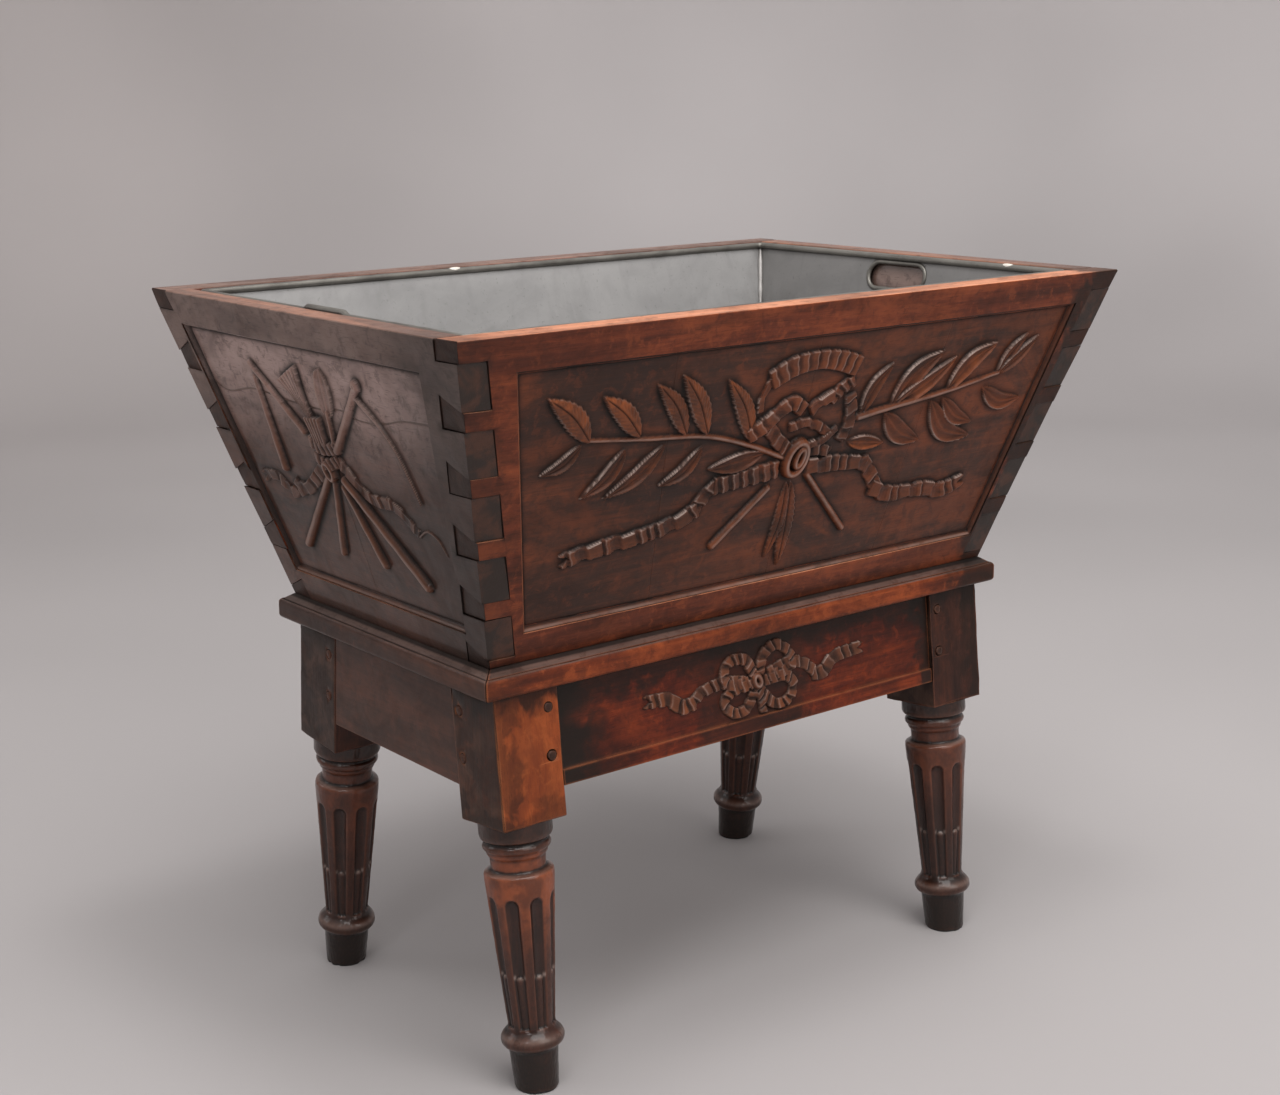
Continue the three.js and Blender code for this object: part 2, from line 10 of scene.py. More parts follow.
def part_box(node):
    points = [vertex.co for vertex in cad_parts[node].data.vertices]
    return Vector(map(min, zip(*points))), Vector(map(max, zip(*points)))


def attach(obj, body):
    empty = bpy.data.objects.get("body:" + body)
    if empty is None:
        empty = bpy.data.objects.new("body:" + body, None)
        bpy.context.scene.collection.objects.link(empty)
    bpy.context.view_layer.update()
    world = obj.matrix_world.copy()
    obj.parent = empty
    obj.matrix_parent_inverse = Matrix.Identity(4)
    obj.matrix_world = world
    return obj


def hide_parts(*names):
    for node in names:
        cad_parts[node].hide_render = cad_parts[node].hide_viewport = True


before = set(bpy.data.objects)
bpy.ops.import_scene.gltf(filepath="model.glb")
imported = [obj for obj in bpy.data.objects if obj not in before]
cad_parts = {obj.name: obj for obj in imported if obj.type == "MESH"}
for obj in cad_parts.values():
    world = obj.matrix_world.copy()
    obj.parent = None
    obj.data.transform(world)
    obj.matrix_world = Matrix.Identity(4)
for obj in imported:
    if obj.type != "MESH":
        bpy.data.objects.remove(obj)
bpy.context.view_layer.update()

# Lengths are written in millimetres, and become metres where a mesh or a lamp is made
MM = 0.001
CARCASE = "carcase"
LINER = "liner"
X, Y, Z = np.eye(3)

# Edges and faces worn by use
RIM_ROUNDING = 2.2
EDGE_ROUNDING = 1.1
JOINT_ROUNDING = 0.9
BLOCK_ROUNDING = 1.8
SHARP_ANGLE = math.radians(35)
STATION = 12.0
SHEET_STATION = 14.0
EDGE_WEAR = 0.45
BLOCK_EDGE_WEAR = 1.0
FACE_WEAR = 0.12

# Joints of the trough, the groove along the ledge, and the painted shadow at the trough's foot
STEPPED_WEAR = 2.0
JOINT_ZONE = 34.0
JOINT_DIRT = 0.75
EDGE_DIRT = 0.25
JOINT_PITCH = 32.0
JOINT_PHASE = 20.0
NOSE_SHARE = 21 / 27
NOSE_DIRT = 1.0
LEDGE_FOOT_SHADOW = 0.9
QUIRK_DEPTH = 0.8
QUIRK_WIDTH = 1.1
FOOT_SHADOW_HEIGHT = 2.0

# Carved fields
FIELD_DEPTH = 6.0
FIELD_SINK = 0.6
GROUND = 0.25
GROUND_UNEVEN = 0.3
FRONT_GRID = 0.8
END_GRID = 1.0
APRON_GRID = 0.7
APRON_SINK = 0.5
APRON_SEAT = 0.1
SOFT_EDGE = 0.9
RAISED = 0.9
PAST_END = 0.8
PLEAT_SHARES = (0.0, 0.50, 0.62, 0.80, 1.0)
PLEAT_HEIGHT_SHARES = (0.70, 1.0, 0.10, 0.0, 0.70)
MOULDING = 3.4
MOULDING_HEIGHT = 4.4
QUIRK = 0.8
# Rows of painted highlight, warmth and painted shade along the mouldings, each for the bottom,
# right, top and left
FRONT_MOULDING = ((0.42, 0.05, 0.0, 0.05), (0.3, 0.1, 0.0, 0.9), (0.0, 0.5, 0.6, 0.0))
END_MOULDING = ((0.22, 0.05, 0.0, 0.0), (0.3, 0.1, 0.0, 0.1), (0.0, 0.3, 0.4, 0.75))

# Legs, in the frame of a leg that leans
LEG_SPREAD = 569.0
FOOT_SPREAD = 361.0
RAKE = math.radians(5.5)
BLOCK = 72.0
RAIL_SETBACK = 4.0
TURNED = 267.0
TURNED_SINK = 1.5
FOOT_RADIUS = 21.5
FOOT_TOP_RADIUS = 24.0
TORUS_RADIUS = 31.0
TORUS_CREST = 54.0
ANKLE_RADIUS = 23.0
SHOULDER_RADIUS = 33.8
NECK_RADIUS = 26.5
RING_RADIUS = 33.0
OVOLO_RADIUS = 35.5
FOOT_SHARE = 0.16
TORUS_SHARE = 0.245
SHOULDER_SHARE = 0.79
LIP_SHARE = 0.82
NECK_TOP_SHARE = 0.88
RING_SHARE = 0.905
OVOLO_SHARE = 0.94
# The torus: heights over the foot's top, and how far it draws in from its crest
TORUS_PROFILE = (
    (0.3, 5.4), (0.8, 3.4), (2.4, 1.5), (4.6, 0.4), (7.2, 0.0), (10.0, 0.3), (12.4, 1.5),
    (14.6, 3.4), (16.6, 5.6), (19.0, 7.2),
)
FLUTES = 8
FLUTE_RADIUS = 9.2
FLUTE_DEPTH = 4.9
FLUTE_TOP_SHARE = 0.74
FLUTE_PHASE = math.radians(-6.5)
REED_RADIUS = 5.4
REED_SINK = 1.0
REED_TOP_SHARE = 0.445
ROUND_STEPS = 216
RISE_STEPS = 216
# A peg from end to end: which side of its middle, how far in from that end, and the radius
PEG_STEPS = 20
PEG_PROFILE = ((-1, 0.0, 3.4), (-1, 0.8, 4.7), (1, 0.8, 4.7), (1, 0.3, 4.2), (1, 0.0, 2.2))

# Liner
CORNER_SIGNS = ((1, 1), (-1, 1), (-1, -1), (1, -1))
RIM_RADIUS = 3.6
RIM_CORNER = 7.0
RIM_BOW = 3.6
RIM_BOW_PLACE = -12.0
RIM_BOW_WIDTH = 80.0
RIM_BOW_FLAT = 62.0
RIM_LOWER = 0.15
RIM_STEP = 4.0
RIM_SPOTS = ((-75.0, None), (None, -160.0))
SPOT_SHARES = (0.25, 0.7, 0.9, 0.95, 0.85, 0.6, 0.2)
SPOT_LIFT = 1.1
GRIP_WIDTH = 94.0
GRIP_HEIGHT = 36.0
GRIP_RADIUS = 2.5
SEAM_RADIUS = 3.0
FLOOR_SEAM_RADIUS = 2.0

# Wood: tones are dark, middle and light, crowns dark and light for upward faces, worn and painted
# lighter as if lit from above, and a grain or a side is the axis that its faces look along, with
# its dark and its light
# Painted sheen: the heights over which a paler tone takes over on the end boards
SHEEN_HEIGHTS = (570.0, 690.0)
DARK_PATCH_WANDER = 16.0
DARK_PATCH_COLOUR = (0.010, 0.006, 0.004)
HOLLOW_DIRT_AND_SHADE = (0.004, 0.003, 0.0025)
# Painted highlight: the pale colour laid where the rim mark is, standing in for glints on thin
# edges
PAINTED_RIM_HIGHLIGHT = (0.400, 0.300, 0.260)
TROUGH_TONES = ((0.044, 0.011, 0.005), (0.130, 0.027, 0.010), (0.260, 0.060, 0.019))
TROUGH_WORN = (0.42, 0.140, 0.060)
TROUGH_CROWN = ((0.440, 0.165, 0.085), (0.640, 0.270, 0.150))
# The back's pale crown is mostly painted highlight
BACK_CROWN = ((0.190, 0.120, 0.096), (0.250, 0.155, 0.125))
FIELD_TONES = ((0.026, 0.011, 0.007), (0.054, 0.018, 0.009), (0.150, 0.037, 0.012))
FIELD_WORN = (0.26, 0.100, 0.055)
# Warm tone: rubbed wood, and painted light on the lit faces of the leaves
FIELD_WARM = (0.270, 0.070, 0.018)
END_TONES = ((0.034, 0.015, 0.010), (0.066, 0.026, 0.015), (0.110, 0.038, 0.020))
END_WORN = (0.24, 0.100, 0.058)
END_WARM = (0.240, 0.080, 0.034)
END_PAINTED_SHEEN = (0.190, 0.125, 0.104)
END_FIELD_PAINTED_SHEEN = (0.420, 0.295, 0.265)
END_CROWN = ((0.165, 0.074, 0.045), (0.330, 0.140, 0.080))
END_GRAIN = ("Y", (0.025, 0.012, 0.007), (0.130, 0.039, 0.015))
PIN_GRAIN = ("X", (0.023, 0.013, 0.009), (0.054, 0.026, 0.016))
# Painted shade: the leg blocks' faces that look along X, darker than their fronts
BLOCK_SIDE_SHADE = ("X", (0.033, 0.018, 0.013), (0.080, 0.042, 0.028))
STAND_TONES = ((0.030, 0.006, 0.003), (0.094, 0.013, 0.004), (0.230, 0.037, 0.008))
STAND_WORN = (0.50, 0.160, 0.060)
STAND_CROWN = ((0.115, 0.073, 0.060), (0.155, 0.099, 0.083))
LEDGE_TONES = ((0.050, 0.010, 0.004), (0.150, 0.027, 0.007), (0.340, 0.074, 0.018))
BRIGHT_TONES = ((0.160, 0.034, 0.010), (0.280, 0.058, 0.013), (0.400, 0.100, 0.025))
BRIGHT_WORN = (0.50, 0.17, 0.060)
LEG_TONES = ((0.018, 0.007, 0.005), (0.043, 0.014, 0.008), (0.084, 0.023, 0.011))
LEG_WORN = (0.28, 0.10, 0.055)
LEG_WARM = (0.270, 0.066, 0.022)
FACING = (0.55, 0.75, 0.0, 0.92)
WOOD_SPECULAR = 0.22
WOOD_COAT_ROUGHNESS = 0.11
ZINC_DIRT_AND_SHADE = (0.05, 0.045, 0.04)

# Camera and stage
CAMERA_PLACE = (-1272.6, -1601.7, 949.7)
CAMERA_YAW = math.radians(38.302)
CAMERA_PITCH = math.radians(-13.621)
CAMERA_ROLL = math.radians(-0.68)
CAMERA_LENS = 55.49
CAMERA_SENSOR = 36.0
STAGE_RADIUS = 3600.0
STAGE_CURVE = 1500.0
STAGE_HEIGHT = 3800.0
STAGE_FLAT_RADII = (400.0, 1200.0, 2400.0)
STAGE_ACROSS = (0.785, -0.62, 0.0)
FLOOR_COLOUR = (0.345, 0.328, 0.330)
WALL_COLOUR = (0.697, 0.665, 0.668)
DIM_WALL_COLOUR = (0.610, 0.570, 0.566)
WORLD_COLOUR = (1.0, 0.985, 0.97, 1.0)
WORLD_STRENGTH = 0.62
# Lamps: place, the height over the middle that they aim at, side, watts and tint
LAMPS = {
    "overhead": ((-300, -950, 3050), 400, 2300, 71, (1.0, 0.98, 0.96)),
    "spot": ((-150, -450, 3050), 400, 400, 13, (1.0, 0.99, 0.98)),
    "front": ((200, -2900, 1900), 450, 2200, 31, (1.0, 0.97, 0.94)),
    "window": ((-2700, -1500, 2400), 450, (600, 900), 9, (0.97, 0.98, 1.0)),
    "behind": ((-2400, 2300, 1900), 500, 1300, 8, (0.98, 0.99, 1.0)),
}


# Numbers

def smooth(low, high, value):
    """0 below low, 1 above high, and a smooth rise between them."""
    share = np.clip((value - low) / (high - low), 0, 1)
    return share * share * (3 - 2 * share)


def bell(gap, width):
    """1 where the gap is 0, and a smooth fall on both sides of it."""
    return np.exp(-((gap / width) ** 2))


def lattice(cell, seed):
    """A repeatable number from 0 to 1 for each whole-numbered cell."""
    cell = cell.astype(np.uint64)
    mixed = cell[..., 0] * np.uint64(73856093)
    mixed = mixed ^ (cell[..., 1] * np.uint64(19349663))
    mixed = mixed ^ (cell[..., 2] * np.uint64(83492791)) ^ np.uint64(seed * 7919 + 17)
    mixed = (mixed ^ (mixed >> np.uint64(13))) * np.uint64(1274126177)
    mixed = (mixed ^ (mixed >> np.uint64(16))) & np.uint64(0xFFFFFF)
    return mixed.astype(float) / 0xFFFFFF


def drift(places, size, seed=0):
    """Smooth noise from -1 to 1 at places, in lumps of about one size."""
    spot = np.asarray(places, float) / size + 500.0
    cell = np.floor(spot).astype(np.int64)
    share = spot - cell
    share = share * share * (3 - 2 * share)
    total = np.zeros(spot.shape[:-1])
    for corner in itertools.product((0, 1), repeat=3):
        offset = np.array(corner)
        weight = np.prod(np.where(offset, share, 1 - share), axis=-1)
        total += weight * lattice(cell + offset, seed)
    return 2 * total - 1


def blurred(field, radius):
    """A grid of values with each one averaged over a square, twice."""
    width = 2 * radius + 1
    for axis in (0, 1, 0, 1):
        size = field.shape[axis]
        before = np.repeat(np.take(field, [0], axis), radius + 1, axis)
        after = np.repeat(np.take(field, [-1], axis), radius, axis)
        sums = np.cumsum(np.concatenate([before, field, after], axis), axis)
        high = np.take(sums, range(width, width + size), axis)
        field = (high - np.take(sums, range(size), axis)) / width
    return field


def wrapped_blur(field):
    """Averages a grid that closes on itself in its columns over its close neighbours."""
    around = (np.roll(field, 1, 1) + field + np.roll(field, -1, 1)) / 3
    tall = np.concatenate([around[:1], around, around[-1:]])
    return (tall[:-2] + tall[1:-1] + tall[2:]) / 3


def curve(points, steps=40):
    """A smooth line through given points."""
    points = np.array(points, float)
    if len(points) == 2:
        return points[0] + np.linspace(0, 1, steps)[:, None] * (points[1] - points[0])
    before = [2 * points[0] - points[1]]
    after = [2 * points[-1] - points[-2]]
    knots = np.concatenate([before, points, after])
    spots = np.linspace(0, len(points) - 1, steps)
    index = np.minimum(spots.astype(int), len(points) - 2)
    t = (spots - index)[:, None]
    a, b, c, d = (knots[index + k] for k in range(4))
    squared = (2 * a - 5 * b + 4 * c - d) * t**2
    cubed = (3 * b - a - 3 * c + d) * t**3
    return 0.5 * (2 * b + (c - a) * t + squared + cubed)


def circle(first, second, angles):
    return np.cos(angles)[:, None] * first + np.sin(angles)[:, None] * second


# Meshes and pieces

def mesh_piece(name, places, faces, material, body, nodes=(), marks=None):
    """A smooth-shaded piece from places in millimetres, with values for its material."""
    mesh = bpy.data.meshes.new(name)
    mesh.from_pydata((np.asarray(places) * MM).tolist(), [], faces)
    mesh.update()
    for word, values in (marks or {}).items():
        mark = mesh.attributes.new(word, "FLOAT", "POINT")
        mark.data.foreach_set("value", np.asarray(values, np.float32).ravel())
    return finished(name, mesh, material, body, nodes)


def finished(name, mesh, material, body, nodes):
    mesh.shade_smooth()
    mesh.materials.clear()
    mesh.materials.append(material)
    piece = bpy.data.objects.new(name, mesh)
    bpy.context.scene.collection.objects.link(piece)
    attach(piece, body)
    if nodes:
        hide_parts(*nodes)
    return piece


def solid_piece(name, mesh, material, body, node):
    """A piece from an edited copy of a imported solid, with even shading on its flats."""
    data = bpy.data.meshes.new(name)
    mesh.to_mesh(data)
    mesh.free()
    piece = finished(name, data, material, body, [node])
    modifier = piece.modifiers.new("even normals", "WEIGHTED_NORMAL")
    modifier.weight = 100
    modifier.keep_sharp = True


def grid_faces(rows, columns, closed=False):
    """Quads over a grid of points, and round it where its columns close on themselves."""
    index = np.arange(rows * columns).reshape(rows, columns)
    if closed:
        index = np.concatenate([index, index[:, :1]], axis=1)
    a, b = index[:-1, :-1].ravel(), index[:-1, 1:].ravel()
    c, d = index[1:, 1:].ravel(), index[1:, :-1].ravel()
    return np.stack([a, b, c, d], axis=1).tolist()


def lofted_faces(rows, columns):
    """Quads round a stack of rings, and a face over each end."""
    faces = grid_faces(rows, columns, closed=True)
    faces.append(list(range(columns))[::-1])
    faces.append(list(range((rows - 1) * columns, rows * columns)))
    return faces


def corners_of(node):
    return np.array([v.co[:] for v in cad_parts[node].data.vertices]) / MM


def box_of(node):
    low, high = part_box(node)
    return np.array(low) / MM, np.array(high) / MM


def extent(node, height, axis):
    """The least and greatest place of a node's corners at a height."""
    corners = corners_of(node)
    near = corners[abs(corners[:, 2] - height) < 0.5]
    return near[:, axis].min(), near[:, axis].max()


# Materials

def scaled(tone, share):
    return tuple(share * part for part in tone)


class Nodes:
    """A material written as a chain of nodes. A tone is its red, green and blue."""

    def __init__(self, name):
        self.material = bpy.data.materials.new(name)
        self.material.use_nodes = True
        self.tree = self.material.node_tree
        self.shader = self.tree.nodes["Principled BSDF"]

    def add(self, kind, inputs=None, **settings):
        node = self.tree.nodes.new(kind)
        for key, value in settings.items():
            setattr(node, key, value)
        for key, value in (inputs or {}).items():
            self.feed(node.inputs[key], value)
        return node

    def feed(self, socket, value):
        if isinstance(value, bpy.types.NodeSocket):
            self.tree.links.new(value, socket)
        elif socket.type == "RGBA":
            socket.default_value = (*value, 1.0)
        else:
            socket.default_value = value

    def shaded(self, **values):
        """Feeds the shader's sockets, named with a low line for each space."""
        for word, value in values.items():
            self.feed(self.shader.inputs[word.replace("_", " ")], value)
        return self.material

    def places(self, scale=(1, 1, 1), shift=(0, 0, 0)):
        coordinates = self.add("ShaderNodeTexCoord").outputs["Object"]
        inputs = {"Vector": coordinates, "Scale": scale, "Location": shift}
        return self.add("ShaderNodeMapping", inputs).outputs["Vector"]

    def noise(self, vector, detail, rough, distortion=0.0):
        inputs = {"Vector": vector, "Scale": 1.0, "Detail": detail}
        inputs.update({"Roughness": rough, "Distortion": distortion})
        return self.add("ShaderNodeTexNoise", inputs).outputs[0]

    def between(self, value, low, high, start=0.0, end=1.0):
        inputs = {0: value, 1: low, 2: high, 3: start, 4: end}
        node = self.add("ShaderNodeMapRange", inputs, interpolation_type="SMOOTHSTEP")
        return node.outputs[0]

    def maths(self, operation, a, b=0.0, clamp=True):
        node = self.add("ShaderNodeMath", {0: a, 1: b}, operation=operation)
        node.use_clamp = clamp
        return node.outputs[0]

    def times(self, a, b):
        return self.maths("MULTIPLY", a, b)

    def weighted(self, a, share, b):
        """A share of a, and for the rest b."""
        return self.maths("ADD", self.times(a, share), self.times(b, 1 - share))

    def along(self, places, way):
        """How far places lie along a direction."""
        node = self.add("ShaderNodeVectorMath", {0: places, 1: way}, operation="DOT_PRODUCT")
        return node.outputs["Value"]

    def mix(self, share, a, b):
        node = self.add("ShaderNodeMix", data_type="RGBA", blend_type="MIX")
        for key, value in ((0, share), (6, a), (7, b)):
            self.feed(node.inputs[key], value)
        return node.outputs[2]

    def layered(self, base, layers):
        """Lays tones over a base, each to its own share."""
        for share, tone in layers:
            base = self.mix(share, base, tone)
        return base

    def mark(self, word):
        return self.add("ShaderNodeAttribute", attribute_name=word).outputs["Fac"]

    def edges(self, radius):
        """How sharply the surface turns within a radius."""
        rounded = self.add("ShaderNodeBevel", {"Radius": radius * MM}, samples=4)
        true = self.add("ShaderNodeNewGeometry").outputs["True Normal"]
        return self.between(self.along(rounded.outputs[0], true), 0.985, 0.86)

    # Ambient occlusion: how closely nearby surfaces close round a point, used for painted shade in
    # hollows
    def crevices(self, distance):
        node = self.add("ShaderNodeAmbientOcclusion", {"Distance": distance * MM}, samples=4)
        return self.between(node.outputs["AO"], 0.86, 0.32)

    def bump(self, height, distance, below=None):
        inputs = {"Height": height, "Distance": distance * MM, "Strength": 1.0}
        if below is not None:
            inputs["Normal"] = below
        return self.add("ShaderNodeBump", inputs).outputs["Normal"]


def walnut(name, grain, tones, worn, warm=None, patina=0.6, glow=0.4, shift=0.0, shine=0.36,
           coat=0.04, rub=3.2, side=None, crown=None, painted_sheen=None, ridges=0.55, dark_patches=()):
    """Old waxed walnut: drawn-out figure, pores, dark patina, pale rubbed edges.

    Side is an axis and the two tones of faces turned along it, crown the two tones of upward
    faces, worn and painted lighter as if lit from above, and painted_sheen a tone of painted
    sheen that takes over high on the piece. Each dark patch is a direction, a middle to
    measure from on both sides or None, the places along it where a dark patch starts and
    is whole, and its strength; some of them are painted shadow under the ledges."""
    dark, middle, light = tones
    grime = scaled(dark, 0.45)
    nodes = Nodes(name)
    offset = (shift, shift * 0.7, shift * 1.3)

    def drawn_out(length, width, detail, rough, distortion, shift=offset):
        scales = tuple(1 / (MM * (length if axis == grain else width)) for axis in "xyz")
        return nodes.noise(nodes.places(scales, shift), detail, rough, distortion)

    figure = drawn_out(380, 36, 5, 0.6, 1.4)
    streak = drawn_out(90, 3.2, 3, 0.55, 0.3)
    pore = drawn_out(14, 0.8, 1, 0.5, 0.0)
    cloud = drawn_out(170, 62, 4, 0.6, 0.6)
    patch = drawn_out(150, 66, 5, 0.65, 0.6, offset[::-1])
    stain = nodes.noise(nodes.places((24, 24, 24), offset), 5, 0.65, 0.9)
    blot = nodes.noise(nodes.places((38, 38, 38), offset[::-1]), 3, 0.6, 0.5)
    fleck = nodes.noise(nodes.places((75, 75, 75), offset), 4, 0.7, 0.4)
    lines = nodes.weighted(figure, 0.76, streak)
    layers = [
        (nodes.between(lines, 0.32, 0.56), middle),
        (nodes.between(lines, 0.5, 0.72), light),
        (nodes.between(patch, 0.44, 0.66, 0.0, glow), light),
        (nodes.between(fleck, 0.34, 0.48, 0.45, 0.0), light),
    ]
    # Painted sheen: a paler tone high on the piece, standing in for reflected light
    if painted_sheen is not None:
        height = nodes.add("ShaderNodeSeparateXYZ", {0: nodes.places()}).outputs["Z"]
        raised = nodes.between(height, *scaled(SHEEN_HEIGHTS, MM))
        clouded = nodes.between(cloud, 0.30, 0.60, 0.45, 1.0)
        layers.append((nodes.times(raised, clouded), painted_sheen))
    normal = nodes.add("ShaderNodeTexCoord").outputs["Normal"]
    turned = nodes.add("ShaderNodeSeparateXYZ", {0: normal}).outputs
    if side is not None:
        axis, *pair = side
        mottled = nodes.mix(nodes.between(blot, 0.42, 0.62), *pair)
        layers.append((nodes.between(nodes.maths("ABSOLUTE", turned[axis]), *FACING), mottled))
    # Upward faces: worn, and painted lighter as if lit from above
    if crown is not None:
        lined = nodes.mix(nodes.between(lines, 0.38, 0.62), *crown)
        layers.append((nodes.between(turned["Z"], *FACING), lined))
    layers.append((nodes.between(cloud, 0.36, 0.56, patina, 0.0), grime))
    layers.append((nodes.between(stain, 0.5, 0.68, 0.0, 0.45 * patina), dark))
    layers.append((nodes.between(fleck, 0.51, 0.66, 0.0, 0.45), dark))
    layers.append((nodes.between(pore, 0.60, 0.72, 0.0, 0.4), grime))
    lumps = nodes.weighted(blot, 0.6, cloud)
    wander = nodes.between(lumps, 0.35, 0.65, -DARK_PATCH_WANDER * MM, DARK_PATCH_WANDER * MM)
    # Dark patches by place, some of them painted shadow under the ledges and beside the blocks
    for way, centre, first, last, strength in dark_patches:
        place = nodes.along(nodes.places(), tuple(way))
        if centre is not None:
            place = nodes.maths("SUBTRACT", place, centre * MM, clamp=False)
            place = nodes.maths("ABSOLUTE", place)
        place = nodes.maths("ADD", place, wander, clamp=False)
        share = nodes.between(place, first * MM, last * MM, 0.0, strength)
        layers.append((share, DARK_PATCH_COLOUR))
    layers.append((nodes.mark("grime"), DARK_PATCH_COLOUR))
    rubbing = nodes.between(stain, 0.34, 0.56, 0.45, 1.0)
    warmed = nodes.times(nodes.mark("warm"), nodes.between(blot, 0.36, 0.6, 1.0, 0.35))
    layers.append((warmed, warm or light))
    rubbed = nodes.times(nodes.mark("ridge"), ridges)
    if rub is not None:
        rubbed = nodes.maths("MAXIMUM", nodes.times(nodes.edges(rub), 0.42), rubbed)
    layers.append((nodes.times(rubbed, rubbing), worn))
    # Painted highlights where the rim mark is, with a lower roughness there
    painted_highlight = nodes.times(nodes.mark("rim"), rubbing)
    layers.append((painted_highlight, PAINTED_RIM_HIGHLIGHT))
    # Dirt and painted shade in hollows, from the occlusion and the cavity mark
    hollow = nodes.maths("MAXIMUM", nodes.crevices(9), nodes.mark("cavity"))
    layers.append((nodes.times(hollow, 0.9), HOLLOW_DIRT_AND_SHADE))
    rough = nodes.between(stain, 0.35, 0.7, shine, shine + 0.16)
    rough = nodes.maths("ADD", rough, nodes.times(hollow, 0.3))
    rough = nodes.maths("SUBTRACT", rough, nodes.times(painted_highlight, 0.14))
    uneven = nodes.bump(stain, 0.35)
    uneven = nodes.bump(streak, 0.12, uneven)
    uneven = nodes.bump(pore, -0.10, uneven)
    return nodes.shaded(
        Base_Color=nodes.layered(dark, layers), Roughness=rough, Normal=uneven,
        Specular_IOR_Level=WOOD_SPECULAR, Coat_Weight=coat, Coat_Roughness=WOOD_COAT_ROUGHNESS,
    )


def zinc(name, base, dull, metallic, rough):
    """Dull sheet zinc: faint spangle, cloudy oxide, streaks stained by drips, and dark specks."""
    nodes = Nodes(name)
    cloud = nodes.noise(nodes.places((7, 7, 11)), 6, 0.62, 0.8)
    drip = nodes.noise(nodes.places((60, 60, 7)), 3, 0.5, 0.4)
    speck = nodes.noise(nodes.places((320, 320, 320)), 2, 0.6)
    vector = nodes.places((75, 75, 75))
    spangle = nodes.add("ShaderNodeTexVoronoi", {"Vector": vector, "Scale": 1.0}, feature="F1")
    flake = nodes.add("ShaderNodeSeparateColor", {0: spangle.outputs["Color"]}).outputs[0]
    layers = (
        (nodes.between(cloud, 0.32, 0.66), dull),
        (nodes.between(flake, 0.2, 0.9, 0.0, 0.14), scaled(base, 1.35)),
        (nodes.between(drip, 0.5, 0.7, 0.0, 0.14), scaled(base, 0.55)),
        (nodes.between(speck, 0.64, 0.72, 0.0, 0.3), scaled(base, 0.4)),
        # Dirt and painted shade in the liner's corners
        (nodes.times(nodes.crevices(16), 0.7), ZINC_DIRT_AND_SHADE),
    )
    return nodes.shaded(
        Base_Color=nodes.layered(base, layers), Metallic=metallic,
        Roughness=nodes.between(cloud, 0.3, 0.7, rough - 0.08, rough + 0.1),
        Normal=nodes.bump(speck, 0.04, nodes.bump(cloud, 0.9)),
    )


# Faces of the trough, as seen from outside

class Face:
    """A sloping face: its middle at the bottom, and its across, up and out directions."""

    def __init__(self, outward, low, high, low_distance, high_distance):
        rise = outward * (high_distance - low_distance) + Z * (high - low)
        self.height = np.linalg.norm(rise)
        self.up = rise / self.height
        self.out = outward * self.up[2] - Z * (self.up @ outward)
        self.across = np.cross(self.up, self.out)
        self.origin = outward * low_distance + Z * low

    def place(self, across, up, out):
        spot = self.origin
        for share, way in ((across, self.across), (up, self.up), (out, self.out)):
            spot = spot + np.asarray(share)[..., None] * way
        return spot


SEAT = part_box("trough_front")[0].z / MM
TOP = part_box("trough_front")[1].z / MM
HALF_LENGTHS = [extent("trough_front", height, 0)[1] for height in (SEAT, TOP)]
HALF_WIDTHS = [-extent("trough_front", height, 1)[0] for height in (SEAT, TOP)]
FRONT_FACE = Face(-Y, SEAT, TOP, *HALF_WIDTHS)
BACK_FACE = Face(Y, SEAT, TOP, *HALF_WIDTHS)
LEFT_FACE = Face(-X, SEAT, TOP, *HALF_LENGTHS)
RIGHT_FACE = Face(X, SEAT, TOP, *HALF_LENGTHS)
END_FACES = (LEFT_FACE, RIGHT_FACE)
SIDE_FACES = (FRONT_FACE, BACK_FACE)
RIGHT_STILE = RIGHT_FACE.origin @ RIGHT_FACE.out
FRONT_STILE = FRONT_FACE.origin @ FRONT_FACE.out
END_DARK_PATCHES = ((FRONT_FACE.out, None, FRONT_STILE - 170, FRONT_STILE - 30, 0.6),)


# Boards, rails, ledges and sheets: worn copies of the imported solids

def clean_copy(node):
    """A node's solid with its flat faces whole again."""
    mesh = bmesh.new()
    mesh.from_mesh(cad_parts[node].data)
    bmesh.ops.remove_doubles(mesh, verts=mesh.verts, dist=0.01 * MM)
    flat = math.radians(1)
    bmesh.ops.dissolve_limit(mesh, angle_limit=flat, verts=mesh.verts, edges=mesh.edges)
    return mesh


def places_of(mesh):
    return np.array([v.co[:] for v in mesh.verts]) / MM


def move_to(mesh, places):
    for vert, place in zip(mesh.verts, places):
        vert.co = place * MM


def slice_at(mesh, point, normal, **choices):
    """Cuts the faces that a plane crosses."""
    geometry = [*mesh.verts, *mesh.edges, *mesh.faces]
    bmesh.ops.bisect_plane(mesh, geom=geometry, plane_co=point, plane_no=normal, **choices)


def slice_at_stations(mesh, station):
    """Cuts every face where planes cross it at even stations along X, Y and Z."""
    low = Vector([min(v.co[axis] for v in mesh.verts) for axis in range(3)])
    high = Vector([max(v.co[axis] for v in mesh.verts) for axis in range(3)])
    for axis in range(3):
        count = int((high[axis] - low[axis]) / (station * MM))
        normal = Vector([float(axis == other) for other in range(3)])
        for index in range(1, count):
            slice_at(mesh, low + normal * (high[axis] - low[axis]) * index / count, normal)


